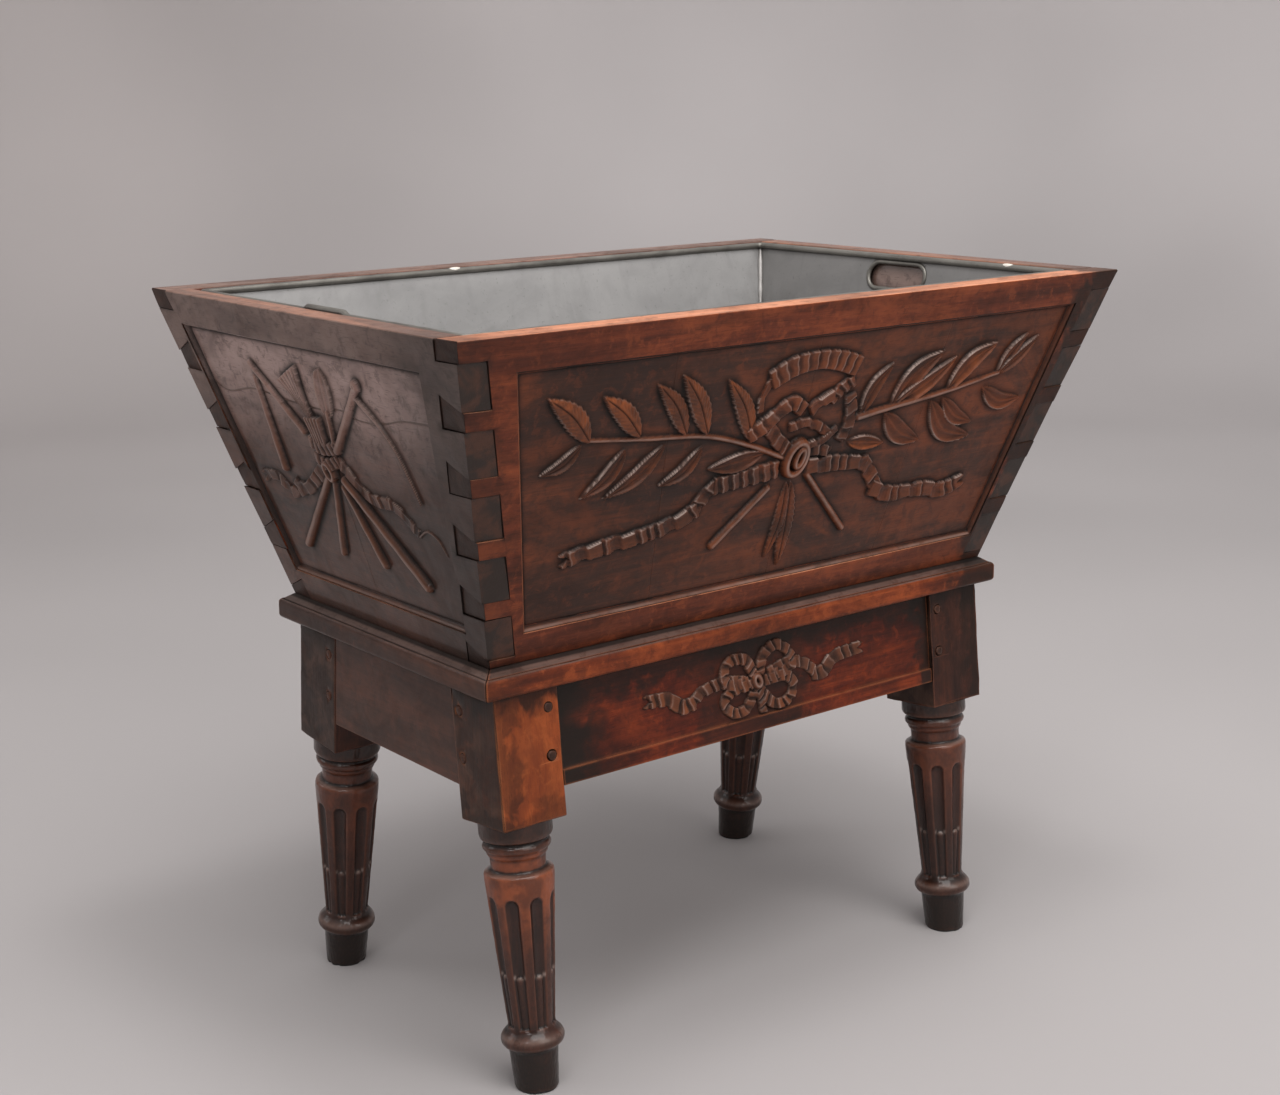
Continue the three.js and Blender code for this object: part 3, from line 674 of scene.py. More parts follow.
def round_edges(mesh, offset, segments, choose=lambda middle: True):
    """Bevels the sharp outward edges that are chosen by the place of their middle."""
    picked = [
        edge for edge in mesh.edges
        if len(edge.link_faces) == 2 and edge.calc_face_angle_signed(0.0) >= SHARP_ANGLE
        and choose((edge.verts[0].co + edge.verts[1].co) / 2 / MM)
    ]
    if picked:
        bmesh.ops.bevel(
            mesh, geom=picked, offset=offset * MM, offset_type="OFFSET", segments=segments,
            profile=0.5, affect="EDGES", clamp_overlap=True,
        )


def edge_points(mesh):
    """Which points lie where faces meet at an angle."""
    return np.array([
        any(face.normal.dot(vert.normal) < 0.97 for face in vert.link_faces) for vert in mesh.verts
    ])


def wear_down(mesh, seed, edge_wear=EDGE_WEAR):
    """Takes a little wood away unevenly, and more on the edges."""
    mesh.normal_update()
    places = places_of(mesh)
    normals = np.array([v.normal[:] for v in mesh.verts])
    broad = 0.5 + 0.5 * drift(places, 55, seed)
    fine = smooth(-0.1, 0.7, drift(places, 16, seed + 1))
    depth = FACE_WEAR * broad + np.where(edge_points(mesh), edge_wear * fine, 0)
    move_to(mesh, places - normals * depth[:, None])


def trough_board(node, material, seed):
    mesh = clean_copy(node)
    round_edges(mesh, RIM_ROUNDING, 3, lambda middle: middle.z > TOP - 1)
    round_edges(mesh, JOINT_ROUNDING, 2)
    step_joints(mesh, node, seed)
    slice_at_stations(mesh, STATION)
    soil_joints(mesh, node, seed)
    wear_down(mesh, seed)
    solid_piece(f"{node}_wood", mesh, material, CARCASE, node)


def step_joints(mesh, node, seed):
    """Sinks each tail's or pin's end by its own small amount, as shrunken wood does."""
    faces = END_FACES if "front" in node or "back" in node else SIDE_FACES
    places = places_of(mesh)
    for number, face in enumerate(faces):
        out = (places - face.origin) @ face.out
        up = (places - face.origin) @ face.up
        band = np.floor((up - JOINT_PHASE) / JOINT_PITCH)
        cell = np.stack([band, np.full(len(band), number), np.full(len(band), seed)], axis=1)
        share = lattice(cell.astype(np.int64) + 64, seed)
        depth = STEPPED_WEAR * share * smooth(-2.0, -1.0, out)
        places = places - face.out * depth[:, None]
    move_to(mesh, places)


def soil_joints(mesh, node, seed):
    """Dirt along the edges of the joints, and a little along the board's other edges."""
    mesh.normal_update()
    places = places_of(mesh)
    axis = 0 if "front" in node or "back" in node else 1
    face = RIGHT_FACE if axis == 0 else BACK_FACE
    mirrored = places * np.where(np.arange(3) == axis, np.sign(places), 1)
    depth = (mirrored - face.origin) @ face.out
    patchy = 0.6 + 0.4 * drift(places, 14, seed + 5)
    dirt_and_shade = np.where(depth > -JOINT_ZONE, JOINT_DIRT, EDGE_DIRT) * patchy
    kept = edge_points(mesh) & (places[:, 2] < TOP - RIM_ROUNDING - 1)
    soil = mesh.verts.layers.float.new("cavity")
    for vert, value in zip(mesh.verts, np.where(kept, dirt_and_shade, 0)):
        vert[soil] = value


def quirk_groove(mesh):
    """A fine dirty groove where the ledge's nose meets the slope above it, and a band of painted
    shadow on the ledge's top where the trough sits.
    """
    low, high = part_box("ledge_front")
    nose = low.z + (high.z - low.z) * NOSE_SHARE
    half = QUIRK_WIDTH / 2 * MM
    foot = high.z - FOOT_SHADOW_HEIGHT * MM
    soil = mesh.verts.layers.float.new("cavity")
    for height in (nose - half, nose, nose + half, foot, foot - QUIRK_WIDTH * MM):
        slice_at(mesh, (0, 0, height), (0, 0, 1))
    for vert in mesh.verts:
        if abs(vert.co.z - nose) < 0.2 * MM:
            vert[soil] = NOSE_DIRT
            vert.co.z -= QUIRK_DEPTH * MM
        # Painted shadow on the ledge's top at the trough's foot
        elif vert.co.z > foot - 0.1 * MM:
            vert[soil] = LEDGE_FOOT_SHADOW


def plain_timber(node, material, seed):
    mesh = clean_copy(node)
    round_edges(mesh, EDGE_ROUNDING, 2)
    slice_at_stations(mesh, STATION)
    if node.startswith("ledge"):
        quirk_groove(mesh)
    wear_down(mesh, seed)
    solid_piece(f"{node}_wood", mesh, material, CARCASE, node)


def liner_sheet(node, material, seed):
    """A hand-beaten sheet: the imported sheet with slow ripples."""
    mesh = clean_copy(node)
    slice_at_stations(mesh, SHEET_STATION)
    places = places_of(mesh)
    largest = max(mesh.faces, key=lambda face: face.calc_area())
    ripple = 0.7 * drift(places, 95, seed) + 0.25 * drift(places, 38, seed + 3)
    move_to(mesh, places + np.array(largest.normal) * ripple[:, None])
    solid_piece(f"{node}_sheet", mesh, material, LINER, node)


# Relief carving

class Relief:
    """Heights of carved wood over a four-sided field, on a grid of rows and columns.

    Warmth marks rubbed, lighter wood and painted light on lit faces, rims painted highlights on
    thin edges, and dirt_and_shade painted shade along the moulding's darker sides."""

    def __init__(self, corners, step, seed):
        self.corners = np.array(corners, float)
        low_left, low_right, high_right, high_left = self.corners
        width = max(np.linalg.norm(low_right - low_left), np.linalg.norm(high_right - high_left))
        height = np.linalg.norm(high_left - low_left)
        columns = np.linspace(0, 1, int(width / step) + 1)[None, :, None]
        rows = np.linspace(0, 1, int(height / step) + 1)[:, None, None]
        left = low_left + rows * (high_left - low_left)
        right = low_right + rows * (high_right - low_right)
        self.spots = left + columns * (right - left)
        self.step = step
        shape = self.spots.shape[:2]
        self.flat = np.concatenate([self.spots, np.zeros((*shape, 1))], axis=2)
        uneven = drift(self.flat, 34, seed) + 0.45 * drift(self.flat, 9, seed + 1)
        self.ground = GROUND + GROUND_UNEVEN * (0.5 + 0.35 * uneven)
        self.heights = self.ground.copy()
        self.warmth, self.rims, self.dirt_and_shade = (np.zeros(shape) for _ in range(3))
        self.plain = np.zeros(shape, bool)

    def beside(self, line, reach):
        """For the points near a line: which they are, how far along it and how far aside
        they lie, and how far past its end."""
        low = line.min(axis=0) - reach
        high = line.max(axis=0) + reach
        near = np.all((self.spots > low) & (self.spots < high), axis=2)
        spots = self.spots[near]
        best = np.full(len(spots), np.inf)
        aside, along, past = (np.zeros(len(spots)) for _ in range(3))
        start = 0.0
        for a, b in zip(line[:-1], line[1:]):
            run = b - a
            length = np.linalg.norm(run)
            free = (spots - a) @ run / length**2
            share = np.clip(free, 0, 1)
            gap = spots - a - share[:, None] * run
            distance = np.linalg.norm(gap, axis=1)
            closer = distance < best
            best = np.where(closer, distance, best)
            turn = np.sign(run[0] * gap[:, 1] - run[1] * gap[:, 0])
            aside = np.where(closer, distance * turn, aside)
            along = np.where(closer, start + share * length, along)
            over = np.maximum(free - 1, -free) * length
            past = np.where(closer, np.maximum(over, 0), past)
            start += length
        inner = (along > 0) & (along < start)
        return near, along, start, aside, np.where(inner, 0, past)

    def lay(self, near, height, warmth=0.0, rim=0.0):
        """Raises the points to a height where that is above what lies there."""
        higher = height > self.heights[near]
        for grid, value in ((self.heights, height), (self.warmth, warmth), (self.rims, rim)):
            grid[near] = np.where(higher, value, grid[near])

    def cut(self, line, width, depth):
        """A groove along a line, where the ground lies bare."""
        near, _, _, aside, _ = self.beside(line, 3 * width)
        bare = self.heights[near] < RAISED
        self.heights[near] -= bare * depth * bell(aside, width)

    def moulding(self, highlight, warmth, dirt_and_shade):
        """A quarter round along the field's edges, with a quirk inside it. Painted highlight,
        warmth and painted shade have a value for the bottom, right, top and left."""
        distance = np.full(self.heights.shape, np.inf)
        nearest = np.zeros(self.heights.shape, int)
        for side, (a, b) in enumerate(zip(self.corners, np.roll(self.corners, -1, 0))):
            run = (b - a) / np.linalg.norm(b - a)
            gap = self.spots - a
            aside = abs(run[0] * gap[..., 1] - run[1] * gap[..., 0])
            nearest = np.where(aside < distance, side, nearest)
            distance = np.minimum(distance, aside)
        share = np.clip(distance / MOULDING, 0, 1)
        raised = MOULDING_HEIGHT * np.sqrt(1 - share**2)
        quirk = QUIRK * bell(distance - MOULDING - QUIRK, QUIRK)
        within = distance < MOULDING
        self.heights = np.where(within, np.maximum(raised, self.ground), self.heights - quirk)
        # Painted highlight, stronger on the sides that face the light
        shine = np.array(highlight)[nearest] * (0.75 + 0.25 * drift(self.flat, 20, 3))
        self.rims = np.where(within, shine * smooth(0.45, 0.2, abs(share - 0.4)), self.rims)
        self.warmth = np.where(within, np.array(warmth)[nearest], self.warmth)
        # Painted shade on the moulding's darker sides
        self.dirt_and_shade = np.where(within, np.array(dirt_and_shade)[nearest], self.dirt_and_shade)
        self.plain = within


def field_corners(node, face):
    """A sunk field's corners: low left, low right, high right and high left."""
    gaps = corners_of(node) - face.origin
    sunk = abs(gaps @ face.out + FIELD_DEPTH) < 0.05
    spots = np.stack([gaps @ face.across, gaps @ face.up], axis=1)[sunk]
    low = spots[spots[:, 1] < spots[:, 1].min() + FIELD_DEPTH]
    high = spots[spots[:, 1] > spots[:, 1].max() - FIELD_DEPTH]
    return [
        low[np.argmin(low[:, 0])], low[np.argmax(low[:, 0])],
        high[np.argmax(high[:, 0])], high[np.argmin(high[:, 0])],
    ]


def edge_fall(half, aside):
    """1 inside a shape and 0 outside it, with a steep carved side."""
    return smooth(0, SOFT_EDGE, half + 0.4 - abs(aside))


def from_middle(aside, half):
    """0 on a shape's middle line and 1 at its edge."""
    return np.clip(abs(aside) / half, 0, 1)


def rod(relief, points, radius, tip_radius=None, lift=1.2):
    """A half-round stick, such as a stem or a handle."""
    tip_radius = radius if tip_radius is None else tip_radius
    near, along, length, aside, _ = relief.beside(curve(points), max(radius, tip_radius) + 2)
    half = radius + (tip_radius - radius) * along / length
    t = from_middle(aside, half)
    height = lift + half * np.sqrt(1 - t**2) + 0.15 * np.sin(along / 5.0)
    # Painted highlight along the middle of the rod
    relief.lay(near, height * edge_fall(half, aside), 0.35, 0.35 * smooth(0.55, 0.2, t))


def leaf_outline(relief, base, tip, width, bend):
    """The points round a leaf's bent middle line and its half width beside each."""
    base, tip = np.array(base, float), np.array(tip, float)
    run = tip - base
    line = curve([base, (base + tip) / 2 + bend * np.array([-run[1], run[0]]), tip])
    near, along, length, aside, _ = relief.beside(line, width)
    share = np.clip(along / length, 0, 1)
    half = width / 2 * np.sin(np.pi * share**0.85) ** 0.85 + 1.0 * (1 - share)
    return near, along, aside, share, np.maximum(half, 0.05)


def leaf(relief, base, tip, width, bend, warmth=1.0):
    """A raised laurel leaf with a vein down it, side veins and a notched edge."""
    near, along, aside, share, half = leaf_outline(relief, base, tip, width, bend)
    half = half * (1 + 0.05 * np.sin(2 * np.pi * along / 7.0))
    t = from_middle(aside, half)
    vein = 0.40 * t * np.sin(2 * np.pi * (along - 1.3 * abs(aside)) / 6.2)
    height = (3.2 + 2.0 * share) * (1.0 - 0.25 * t**2) - 1.7 * bell(aside, 0.7) + vein
    height = height + np.sign(aside) * t
    # Painted highlight along the leaf's edge, stronger on one side
    rim = np.where(aside > 0, 0.5, 0.2) * smooth(0.84, 0.97, t)
    # Painted light: one side of the leaf warmer than the other
    glow = warmth * np.where(aside > 0, 0.65, 1.0) * (0.6 + 0.4 * share)
    relief.lay(near, height * edge_fall(half, aside), glow, rim)


def dished_leaf(relief, base, tip, width, bend, pale_side, warmth):
    """A hollowed leaf with a raised rim, given a painted highlight on one side, and a rib down it.
    """
    near, along, aside, share, half = leaf_outline(relief, base, tip, width, bend)
    t = from_middle(aside, half)
    pale = aside * pale_side > 0
    height = 1.5 + 1.2 * share + 3.2 * t**3 + 0.6 * bell(aside, 0.9)
    height = height - 0.7 * np.sin(np.pi * t) + np.where(pale, 0.8 * t, 0)
    glint = np.where(pale, 0.8 + 0.2 * np.sin(along / 5.0), 0.12)
    # Painted highlight along the rim on the pale side
    rim = glint * smooth(0.84, 0.95, t) * smooth(0.02, 0.2, share)
    # Painted light: the leaf's lit half painted warmer
    glow = np.where(pale, 0.4, 1.0) * warmth
    relief.lay(near, height * edge_fall(half, aside), glow, rim)


def ribbon(relief, points, width, pleats=(12.0,), lift=2.8, fold=2.2, slant=0.18, forked=False,
           warmth=0.2, steps=60):
    """A ribbon laid along a line, folded at pleats of repeated lengths, with a swallow-tailed
    end where it is forked. Long pleats lie smooth, with a painted highlight along the upper edge."""
    line = curve(points, steps)
    near, along, length, aside, past = relief.beside(line, width)
    turned = along + slant * aside + 0.6 * np.sin(aside / 2.3)
    lengths = np.resize(pleats, int(length / min(pleats)) + 8)
    starts = np.concatenate([[-2.0 * pleats[-1]], np.cumsum(lengths) - pleats[0]])
    index = np.clip(np.searchsorted(starts, turned) - 1, 0, len(lengths) - 1)
    pitch = np.diff(starts)[np.minimum(index, len(starts) - 2)]
    share = np.clip((turned - starts[index]) / pitch, 0, 1)
    rise = np.interp(share, PLEAT_SHARES, PLEAT_HEIGHT_SHARES)
    calm = smooth(16, 24, pitch)
    half = width / 2 * (0.97 + 0.05 * np.sin(along / 13.0) - 0.10 * calm * np.sin(np.pi * share))
    shifted = aside - (0.9 + 1.3 * calm) * (rise - 0.5)
    t = from_middle(shifted, half)
    upper = np.sign(shifted) * (1 if line[-1][0] > line[0][0] else -1)
    curl = np.where(upper > 0, 1.5, 0.3) * calm * t**3
    height = lift + fold * rise * (1 - 0.35 * calm) + 0.4 * np.sin(along / 9.0) + curl
    height = np.where(past > PAST_END, 0, height * edge_fall(half, shifted))
    if forked:
        left = np.clip((length - along) / (0.9 * width), 0, 1)
        inside = smooth(-0.5, 0.5, (1 - left) * half * 0.95 - abs(shifted))
        slim = smooth(-0.5, 0.5, half * (0.5 + 0.5 * left) + 1.2 - abs(shifted))
        height = np.where(left < 1, height * (1 - inside) * slim, height)
    facet = smooth(0.55, 0.75, rise)
    # Painted highlights on the pleats' crests and along the upper edge
    crest = 0.35 * smooth(0.90, 0.99, rise) * (1 - calm)
    rim = crest + np.where(upper > 0, 0.30 + 0.55 * calm, 0.1) * smooth(0.84, 0.96, t) * facet
    relief.lay(near, height, warmth * facet, rim)


def ring(relief, centre, radii, thickness, lift, turn=0.0):
    """One oval turn of a knot."""
    angles = np.linspace(0, 2 * np.pi, 49)
    cos, sin = math.cos(turn), math.sin(turn)
    first, second = radii[0] * np.array([cos, sin]), radii[1] * np.array([-sin, cos])
    line = np.array(centre) + circle(first, second, angles)
    near, _, _, aside, _ = relief.beside(line, thickness + 2)
    t = from_middle(aside, thickness)
    height = lift + thickness * np.sqrt(1 - t**2)
    # Painted highlight along the middle of the ring
    relief.lay(near, height * edge_fall(thickness, aside), 0.35, 0.5 * smooth(0.5, 0.1, t))


def fan(relief, neck, end, neck_width, end_width, ribs, lift=3.0):
    """A bundle that flares from its neck, in ribs."""
    near, along, length, aside, past = relief.beside(curve([neck, end], 12), end_width)
    share = along / length
    half = neck_width / 2 + (end_width - neck_width) / 2 * share**2
    ribbed = abs(np.cos(np.pi * ribs * aside / half / 2))
    height = (lift + 1.8 * ribbed + 1.2 * share) * edge_fall(half, aside)
    height = np.where(past > PAST_END, 0, height * (1 - 0.1 * from_middle(aside, half)))
    # Painted highlight on the ribs' crests
    relief.lay(near, height, 0.3, 0.5 * smooth(0.8, 1.0, ribbed))


def spade(relief, neck, end, width):
    """An oval blade with a raised rim and a ridge down its middle."""
    near, along, length, aside, past = relief.beside(curve([neck, end], 16), width)
    share = np.clip(along / length, 0, 1)
    half = width / 2 * np.sqrt(np.clip(1 - (1 - 2 * share) ** 2, 0.02, 1)) ** 0.8
    t = from_middle(aside, half)
    height = (1.6 + 3.2 * t**4 + 0.8 * bell(aside, 1.4)) * edge_fall(half, aside)
    # Painted highlight on the spade's raised rim
    relief.lay(near, np.where(past > 1.0, 0, height), 0.3, 0.6 * smooth(0.75, 0.92, t))


def blade(relief, points, heel, tip):
    """A scythe's blade: a narrow curved plate with a thick back."""
    near, along, length, aside, _ = relief.beside(curve(points), heel + 2)
    half = heel + (tip - heel) * along / length
    t = np.clip(aside / half, -1, 1)
    height = 2.6 + 1.6 * t + 0.6 * (1 - along / length)
    # Painted highlight along one side of the blade
    relief.lay(near, height * edge_fall(half, aside), 0.2, 0.6 * smooth(0.6, 0.9, t))


def marks_of(relief):
    """How far each point stands out, lies in a hollow that gets painted shade, carries a painted
    highlight or is warm.
    """
    heights = relief.heights
    wide = blurred(heights, max(1, int(4.5 / relief.step)))
    tight = blurred(heights, max(1, int(1.6 / relief.step)))
    ridge = np.clip((heights - wide) / 2.4, 0, 1) * smooth(1.0, 3.0, heights)
    # The cavity mark: painted shade in the carving's hollows, with the moulding's painted shade
    cavity = np.clip((wide - heights) / 1.3, 0, 1)
    cavity = np.maximum(cavity, np.clip((tight - heights) / 0.6, 0, 1) * 0.8)
    cavity = np.maximum(cavity, relief.dirt_and_shade)
    return {
        "ridge": np.where(relief.plain, 0.3 * ridge, ridge), "cavity": cavity,
        "rim": relief.rims * (1 - cavity), "warm": blurred(relief.warmth, 1),
    }


def seated_relief(name, relief, face, seat, material, parts=1):
    """Closes a relief into solid tiles that sit in their field, side by side."""
    relief.heights = relief.heights * 0.85 + blurred(relief.heights, 1) * 0.15
    painted = marks_of(relief)
    rows, columns = relief.heights.shape
    cuts = np.linspace(0, columns - 1, parts + 1).astype(int)
    for part, (first, last) in enumerate(zip(cuts[:-1], cuts[1:])):
        span = slice(first, last + 1)
        count = last + 1 - first
        spots = relief.spots[:, span]
        tops = face.place(spots[..., 0], spots[..., 1], relief.heights[:, span] - seat)
        index = np.arange(rows * count).reshape(rows, count)
        border = np.concatenate([index[0], index[1:, -1], index[-1, -2::-1], index[-2:0:-1, 0]])
        low = spots.reshape(-1, 2)[border]
        feet = face.place(low[:, 0], low[:, 1], np.full(len(low), -seat - FIELD_SINK))
        foot = rows * count + np.arange(len(border))
        walls = np.stack([np.roll(border, -1), border, foot, np.roll(foot, -1)], axis=1)
        faces = [*grid_faces(rows, count), *walls.tolist(), foot[::-1].tolist()]
        places = np.concatenate([tops.reshape(-1, 3), feet])
        marks = {
            word: np.concatenate([grid[:, span].ravel(), np.zeros(len(border))])
            for word, grid in painted.items()
        }
        title = name if parts == 1 else f"{name}_{part + 1}"
        mesh_piece(title, places, faces, material, CARCASE, marks=marks)


def front_carving(material):
    """Crossed laurel sprays tied with a bow, with stems and ribbon ends below the knot."""
    relief = Relief(field_corners("trough_front", FRONT_FACE), FRONT_GRID, 5)
    relief.moulding(*FRONT_MOULDING)
    for base, tip, width, bend, warmth in (
        ((-254, 218), (-308, 266), 22.0, -0.06, 1.0),
        ((-197, 216), (-248, 261), 20.24, -0.05, 1.0),
        ((-142, 210), (-188, 266), 19.36, -0.06, 0.8),
        ((-116, 207), (-160, 272), 21.12, -0.05, 0.9),
        ((-58, 192), (-104, 261), 20.24, -0.06, 0.8),
    ):
        leaf(relief, base, tip, width, bend, warmth)
    for base, tip, width, bend, pale_side, warmth in (
        ((-263, 215), (-303, 191), 13, 0.10, -1, 0.1),
        ((-211, 204), (-253, 161), 16, 0.10, -1, 0.1),
        ((-166, 202), (-226, 157), 17, 0.08, -1, 0.2),
        ((-119, 194), (-164, 160), 15, 0.12, -1, 0.2),
        ((-39, 176), (-107, 169), 19, 0.02, -1, 0.2),
        ((82, 203), (111, 255), 17, 0.10, 1, 0.2), ((122, 206), (181, 261), 23, 0.10, 1, 0.25),
        ((125, 207), (202, 252), 19, -0.04, 1, 0.7), ((200, 214), (259, 262), 22, 0.10, 1, 0.8),
        ((271, 224), (303, 268), 13, 0.08, 1, 0.2), ((273, 225), (321, 264), 14, -0.02, 1, 0.3),
        ((117, 199), (177, 162), 22, -0.10, -1, 0.2), ((181, 204), (254, 157), 22, -0.16, -1, 0.2),
        ((198, 205), (251, 173), 17, -0.10, -1, 0.2), ((256, 210), (318, 193), 18, -0.14, -1, 0.2),
        ((74, 173), (125, 166), 15, 0.0, 1, 1.0),
    ):
        dished_leaf(relief, base, tip, width, bend, pale_side, warmth)
    rod(relief, [(-254, 219), (-190, 212), (-118, 205), (-60, 188), (-11, 168)], 2.2, 3.2)
    rod(relief, [(78, 200), (118, 205), (200, 214), (272, 226)], 4.2, 2.2)
    rod(relief, [(-23, 137), (-80, 83)], 3.6, 4.2)
    rod(relief, [(26, 145), (95, 74)], 3.6, 3.8)
    leaf(relief, (8, 138), (14, 44), 17, 0.02, 0.2)
    leaf(relief, (2, 138), (-6, 56), 12, 0.06, 0.1)
    ribbon(relief, [(-16, 157), (-54, 153), (-94, 150)], 19, (13, 11, 14))
    ribbon(relief, [(-92, 151), (-104, 140), (-114, 126)], 15, (12, 17), lift=1.8)
    ribbon(relief, [(-110, 128), (-138, 116), (-188, 108), (-228, 104), (-268, 98)], 17,
           (28, 10, 30, 11, 9, 13), forked=True, steps=80)
    ribbon(relief, [(24, 153), (62, 152), (106, 146)], 18, (12, 24, 13, 10))
    ribbon(relief, [(102, 148), (118, 131), (132, 112)], 16, (15, 22), lift=1.8)
    ribbon(relief, [(124, 114), (156, 103), (200, 102), (232, 96), (270, 105)], 18,
           (11, 26, 12, 10, 24), forked=True, steps=80)
    ribbon(relief, [(-55, 222), (-56, 240), (-46, 258)], 8, (30,), lift=1.8, fold=1.2)
    ribbon(relief, [(-50, 254), (-30, 264), (-10, 268), (12, 269), (36, 265), (60, 257)], 21,
           (13, 11, 14, 12), lift=3.4, fold=1.6, slant=0.05, warmth=0.35)
    ribbon(relief, [(60, 242), (46, 235), (34, 224)], 13, (10, 9), lift=2.2)
    ribbon(relief, [(36, 230), (24, 226), (10, 216)], 12, (30,), lift=4.0, warmth=0.4)
    ribbon(relief, [(60, 226), (66, 208), (67, 192), (60, 177)], 14, (14, 10, 20), lift=2.4)
    ribbon(relief, [(-8, 176), (-24, 188), (-40, 204), (-54, 210)], 15, (20, 14), lift=2.2,
           warmth=0.0)
    ribbon(relief, [(-64, 198), (-46, 208), (-30, 220), (-16, 227), (-2, 219)], 16,
           (14, 11, 13, 20), lift=3.6, warmth=0.35)
    ribbon(relief, [(-12, 200), (6, 203), (24, 198), (40, 188)], 10, (22, 14), lift=2.4)
    ribbon(relief, [(16, 177), (36, 181), (52, 192)], 8, (22,), lift=3.4)
    ribbon(relief, [(14, 170), (32, 171), (50, 166)], 12, (13,), lift=2.2)
    ring(relief, (4, 166), (12, 17), 4.4, 4.2, -0.2)
    ring(relief, (7, 167), (4.6, 9.5), 3.4, 5.6, -0.2)
    seated_relief("front_carving", relief, FRONT_FACE, FIELD_DEPTH, material, 4)


def end_carving(name, node, face, way, material, seed):
    """A trophy of tools tied with a ribbon. Way is 1 as on the left end and -1 mirrored."""
    def at(*spots):
        return [(way * across, up) for across, up in spots]

    relief = Relief(field_corners(node, face), END_GRID, seed)
    sides = (0, 1, 2, 3) if way > 0 else (0, 3, 2, 1)
    relief.moulding(*([row[side] for side in sides] for row in END_MOULDING))
    rod(relief, at((-115, 264), (-44, 202)), 3.4, 4.4)
    rod(relief, at((-113, 250), (-109, 154)), 3.2, 5.0)
    fan(relief, *at((-19, 212), (-42, 262)), 8, 46, 6)
    spade(relief, *at((13, 224), (22, 272)), 25)
    rod(relief, at((8, 192), (14, 228)), 3.0)
    rod(relief, at((84, 262), (12, 190)), 4.4, 5.0)
    ring(relief, *at((85, 264)), (2.2, 2.8), 3.6, 2.4)
    blade(relief, at((79, 248), (103, 228), (123, 201), (138, 156)), 4.6, 1.4)
    rod(relief, at((-24, 156), (-112, 70)), 4.4, 5.4)
    rod(relief, at((-13, 156), (-42, 73)), 3.4, 4.4)
    rod(relief, at((1, 150), (37, 75)), 3.6, 4.6)
    rod(relief, at((7, 158), (108, 67)), 4.6, 5.6)
    ribbon(relief, at((-16, 172), (-46, 154), (-72, 138), (-96, 132)), 16, (18, 26, 14), lift=1.6)
    ribbon(relief, at((-92, 140), (-112, 126), (-140, 140), (-172, 134)), 13, (26, 14), lift=1.2,
           fold=2.0, forked=True)
    ribbon(relief, at((6, 178), (26, 158), (46, 146), (78, 145)), 14, (20, 14, 28), lift=1.4,
           fold=2.0)
    ribbon(relief, at((76, 148), (98, 138), (116, 122)), 12, (24, 12), lift=1.0, fold=1.8)
    rod(relief, at((118, 120), (134, 128), (150, 122), (157, 108)), 1.6, 1.2, lift=0.8)
    fan(relief, *at((-16, 192), (-18, 219)), 22, 30, 5, lift=3.6)
    ribbon(relief, at((-36, 194), (-20, 188), (4, 190), (16, 194)), 13, (8, 10), lift=3.6)
    ribbon(relief, at((-34, 178), (-14, 172), (8, 178)), 13, (9, 12), lift=3.4)
    ring(relief, *at((-15, 165)), (6, 9), 3.0, 4.2, 0.5 * way)
    crack = at((-240, 262), (-196, 226), (-129, 234), (-60, 230), (0, 229), (39, 233), (70, 227),
               (107, 229), (140, 236), (156, 238), (198, 240))
    relief.cut(curve(crack, 90), 0.9, 1.0)
    seated_relief(name, relief, face, FIELD_DEPTH, material, 2)


def apron_carving(material):
    """A small bow with two ribbon ends on the front rail."""
    relief = Relief([(-176, 20), (176, 20), (176, 92), (-176, 92)], APRON_GRID, 31)
    ribbon(relief, [(-18, 56), (-46, 60), (-72, 57), (-88, 48)], 13, (11, 9, 16), lift=0.9)
    ribbon(relief, [(-84, 48), (-100, 47), (-118, 58), (-151, 61)], 15, (20, 12, 10), lift=1.1,
           forked=True, warmth=0.7)
    ribbon(relief, [(14, 58), (40, 64), (62, 60), (78, 47)], 13, (11, 16, 9), lift=0.9)
    ribbon(relief, [(74, 46), (90, 46), (108, 58), (152, 61)], 15, (20, 10, 12), lift=1.1,
           forked=True)
    for loop in (
        [(-6, 60), (-16, 78), (-36, 80), (-45, 68), (-38, 56), (-10, 54)],
        [(-8, 52), (-34, 50), (-46, 40), (-36, 27), (-18, 28), (-4, 46)],
        [(2, 60), (8, 78), (26, 86), (42, 76), (44, 60), (14, 56)],
        [(8, 52), (36, 52), (47, 40), (38, 27), (20, 26), (2, 44)],
    ):
        ribbon(relief, loop, 12, (10, 8, 13), lift=1.6, fold=2.4, warmth=0.4)
    ribbon(relief, [(-4, 48), (2, 34), (4, 20)], 9, (10, 8), lift=1.4, fold=2.0)
    ring(relief, (-3, 54), (4, 6), 3.4, 3.0, 0.4)
    raised = relief.heights > relief.ground + 0.2
    relief.heights = np.where(raised, relief.heights, -APRON_SINK)
    low = box_of("rail_front")[0][2]
    lean = math.tan(RAKE)
    distance = FOOT_SPREAD / 2 - lean * low + (BLOCK / 2 - RAIL_SETBACK) / math.cos(RAKE)
    rise = 100.0
    face = Face(-Y, low, low + rise, distance, distance - lean * rise)
    seated_relief("apron_carving", relief, face, APRON_SEAT, material)


# Legs

def leaning(side, end):
    """A leg's frame: from its foot, up the lean, in millimetres."""
    foot = Matrix.Translation((end * LEG_SPREAD / 2, side * FOOT_SPREAD / 2, 0))
    return foot @ Matrix.Rotation(side * RAKE, 4, "X")


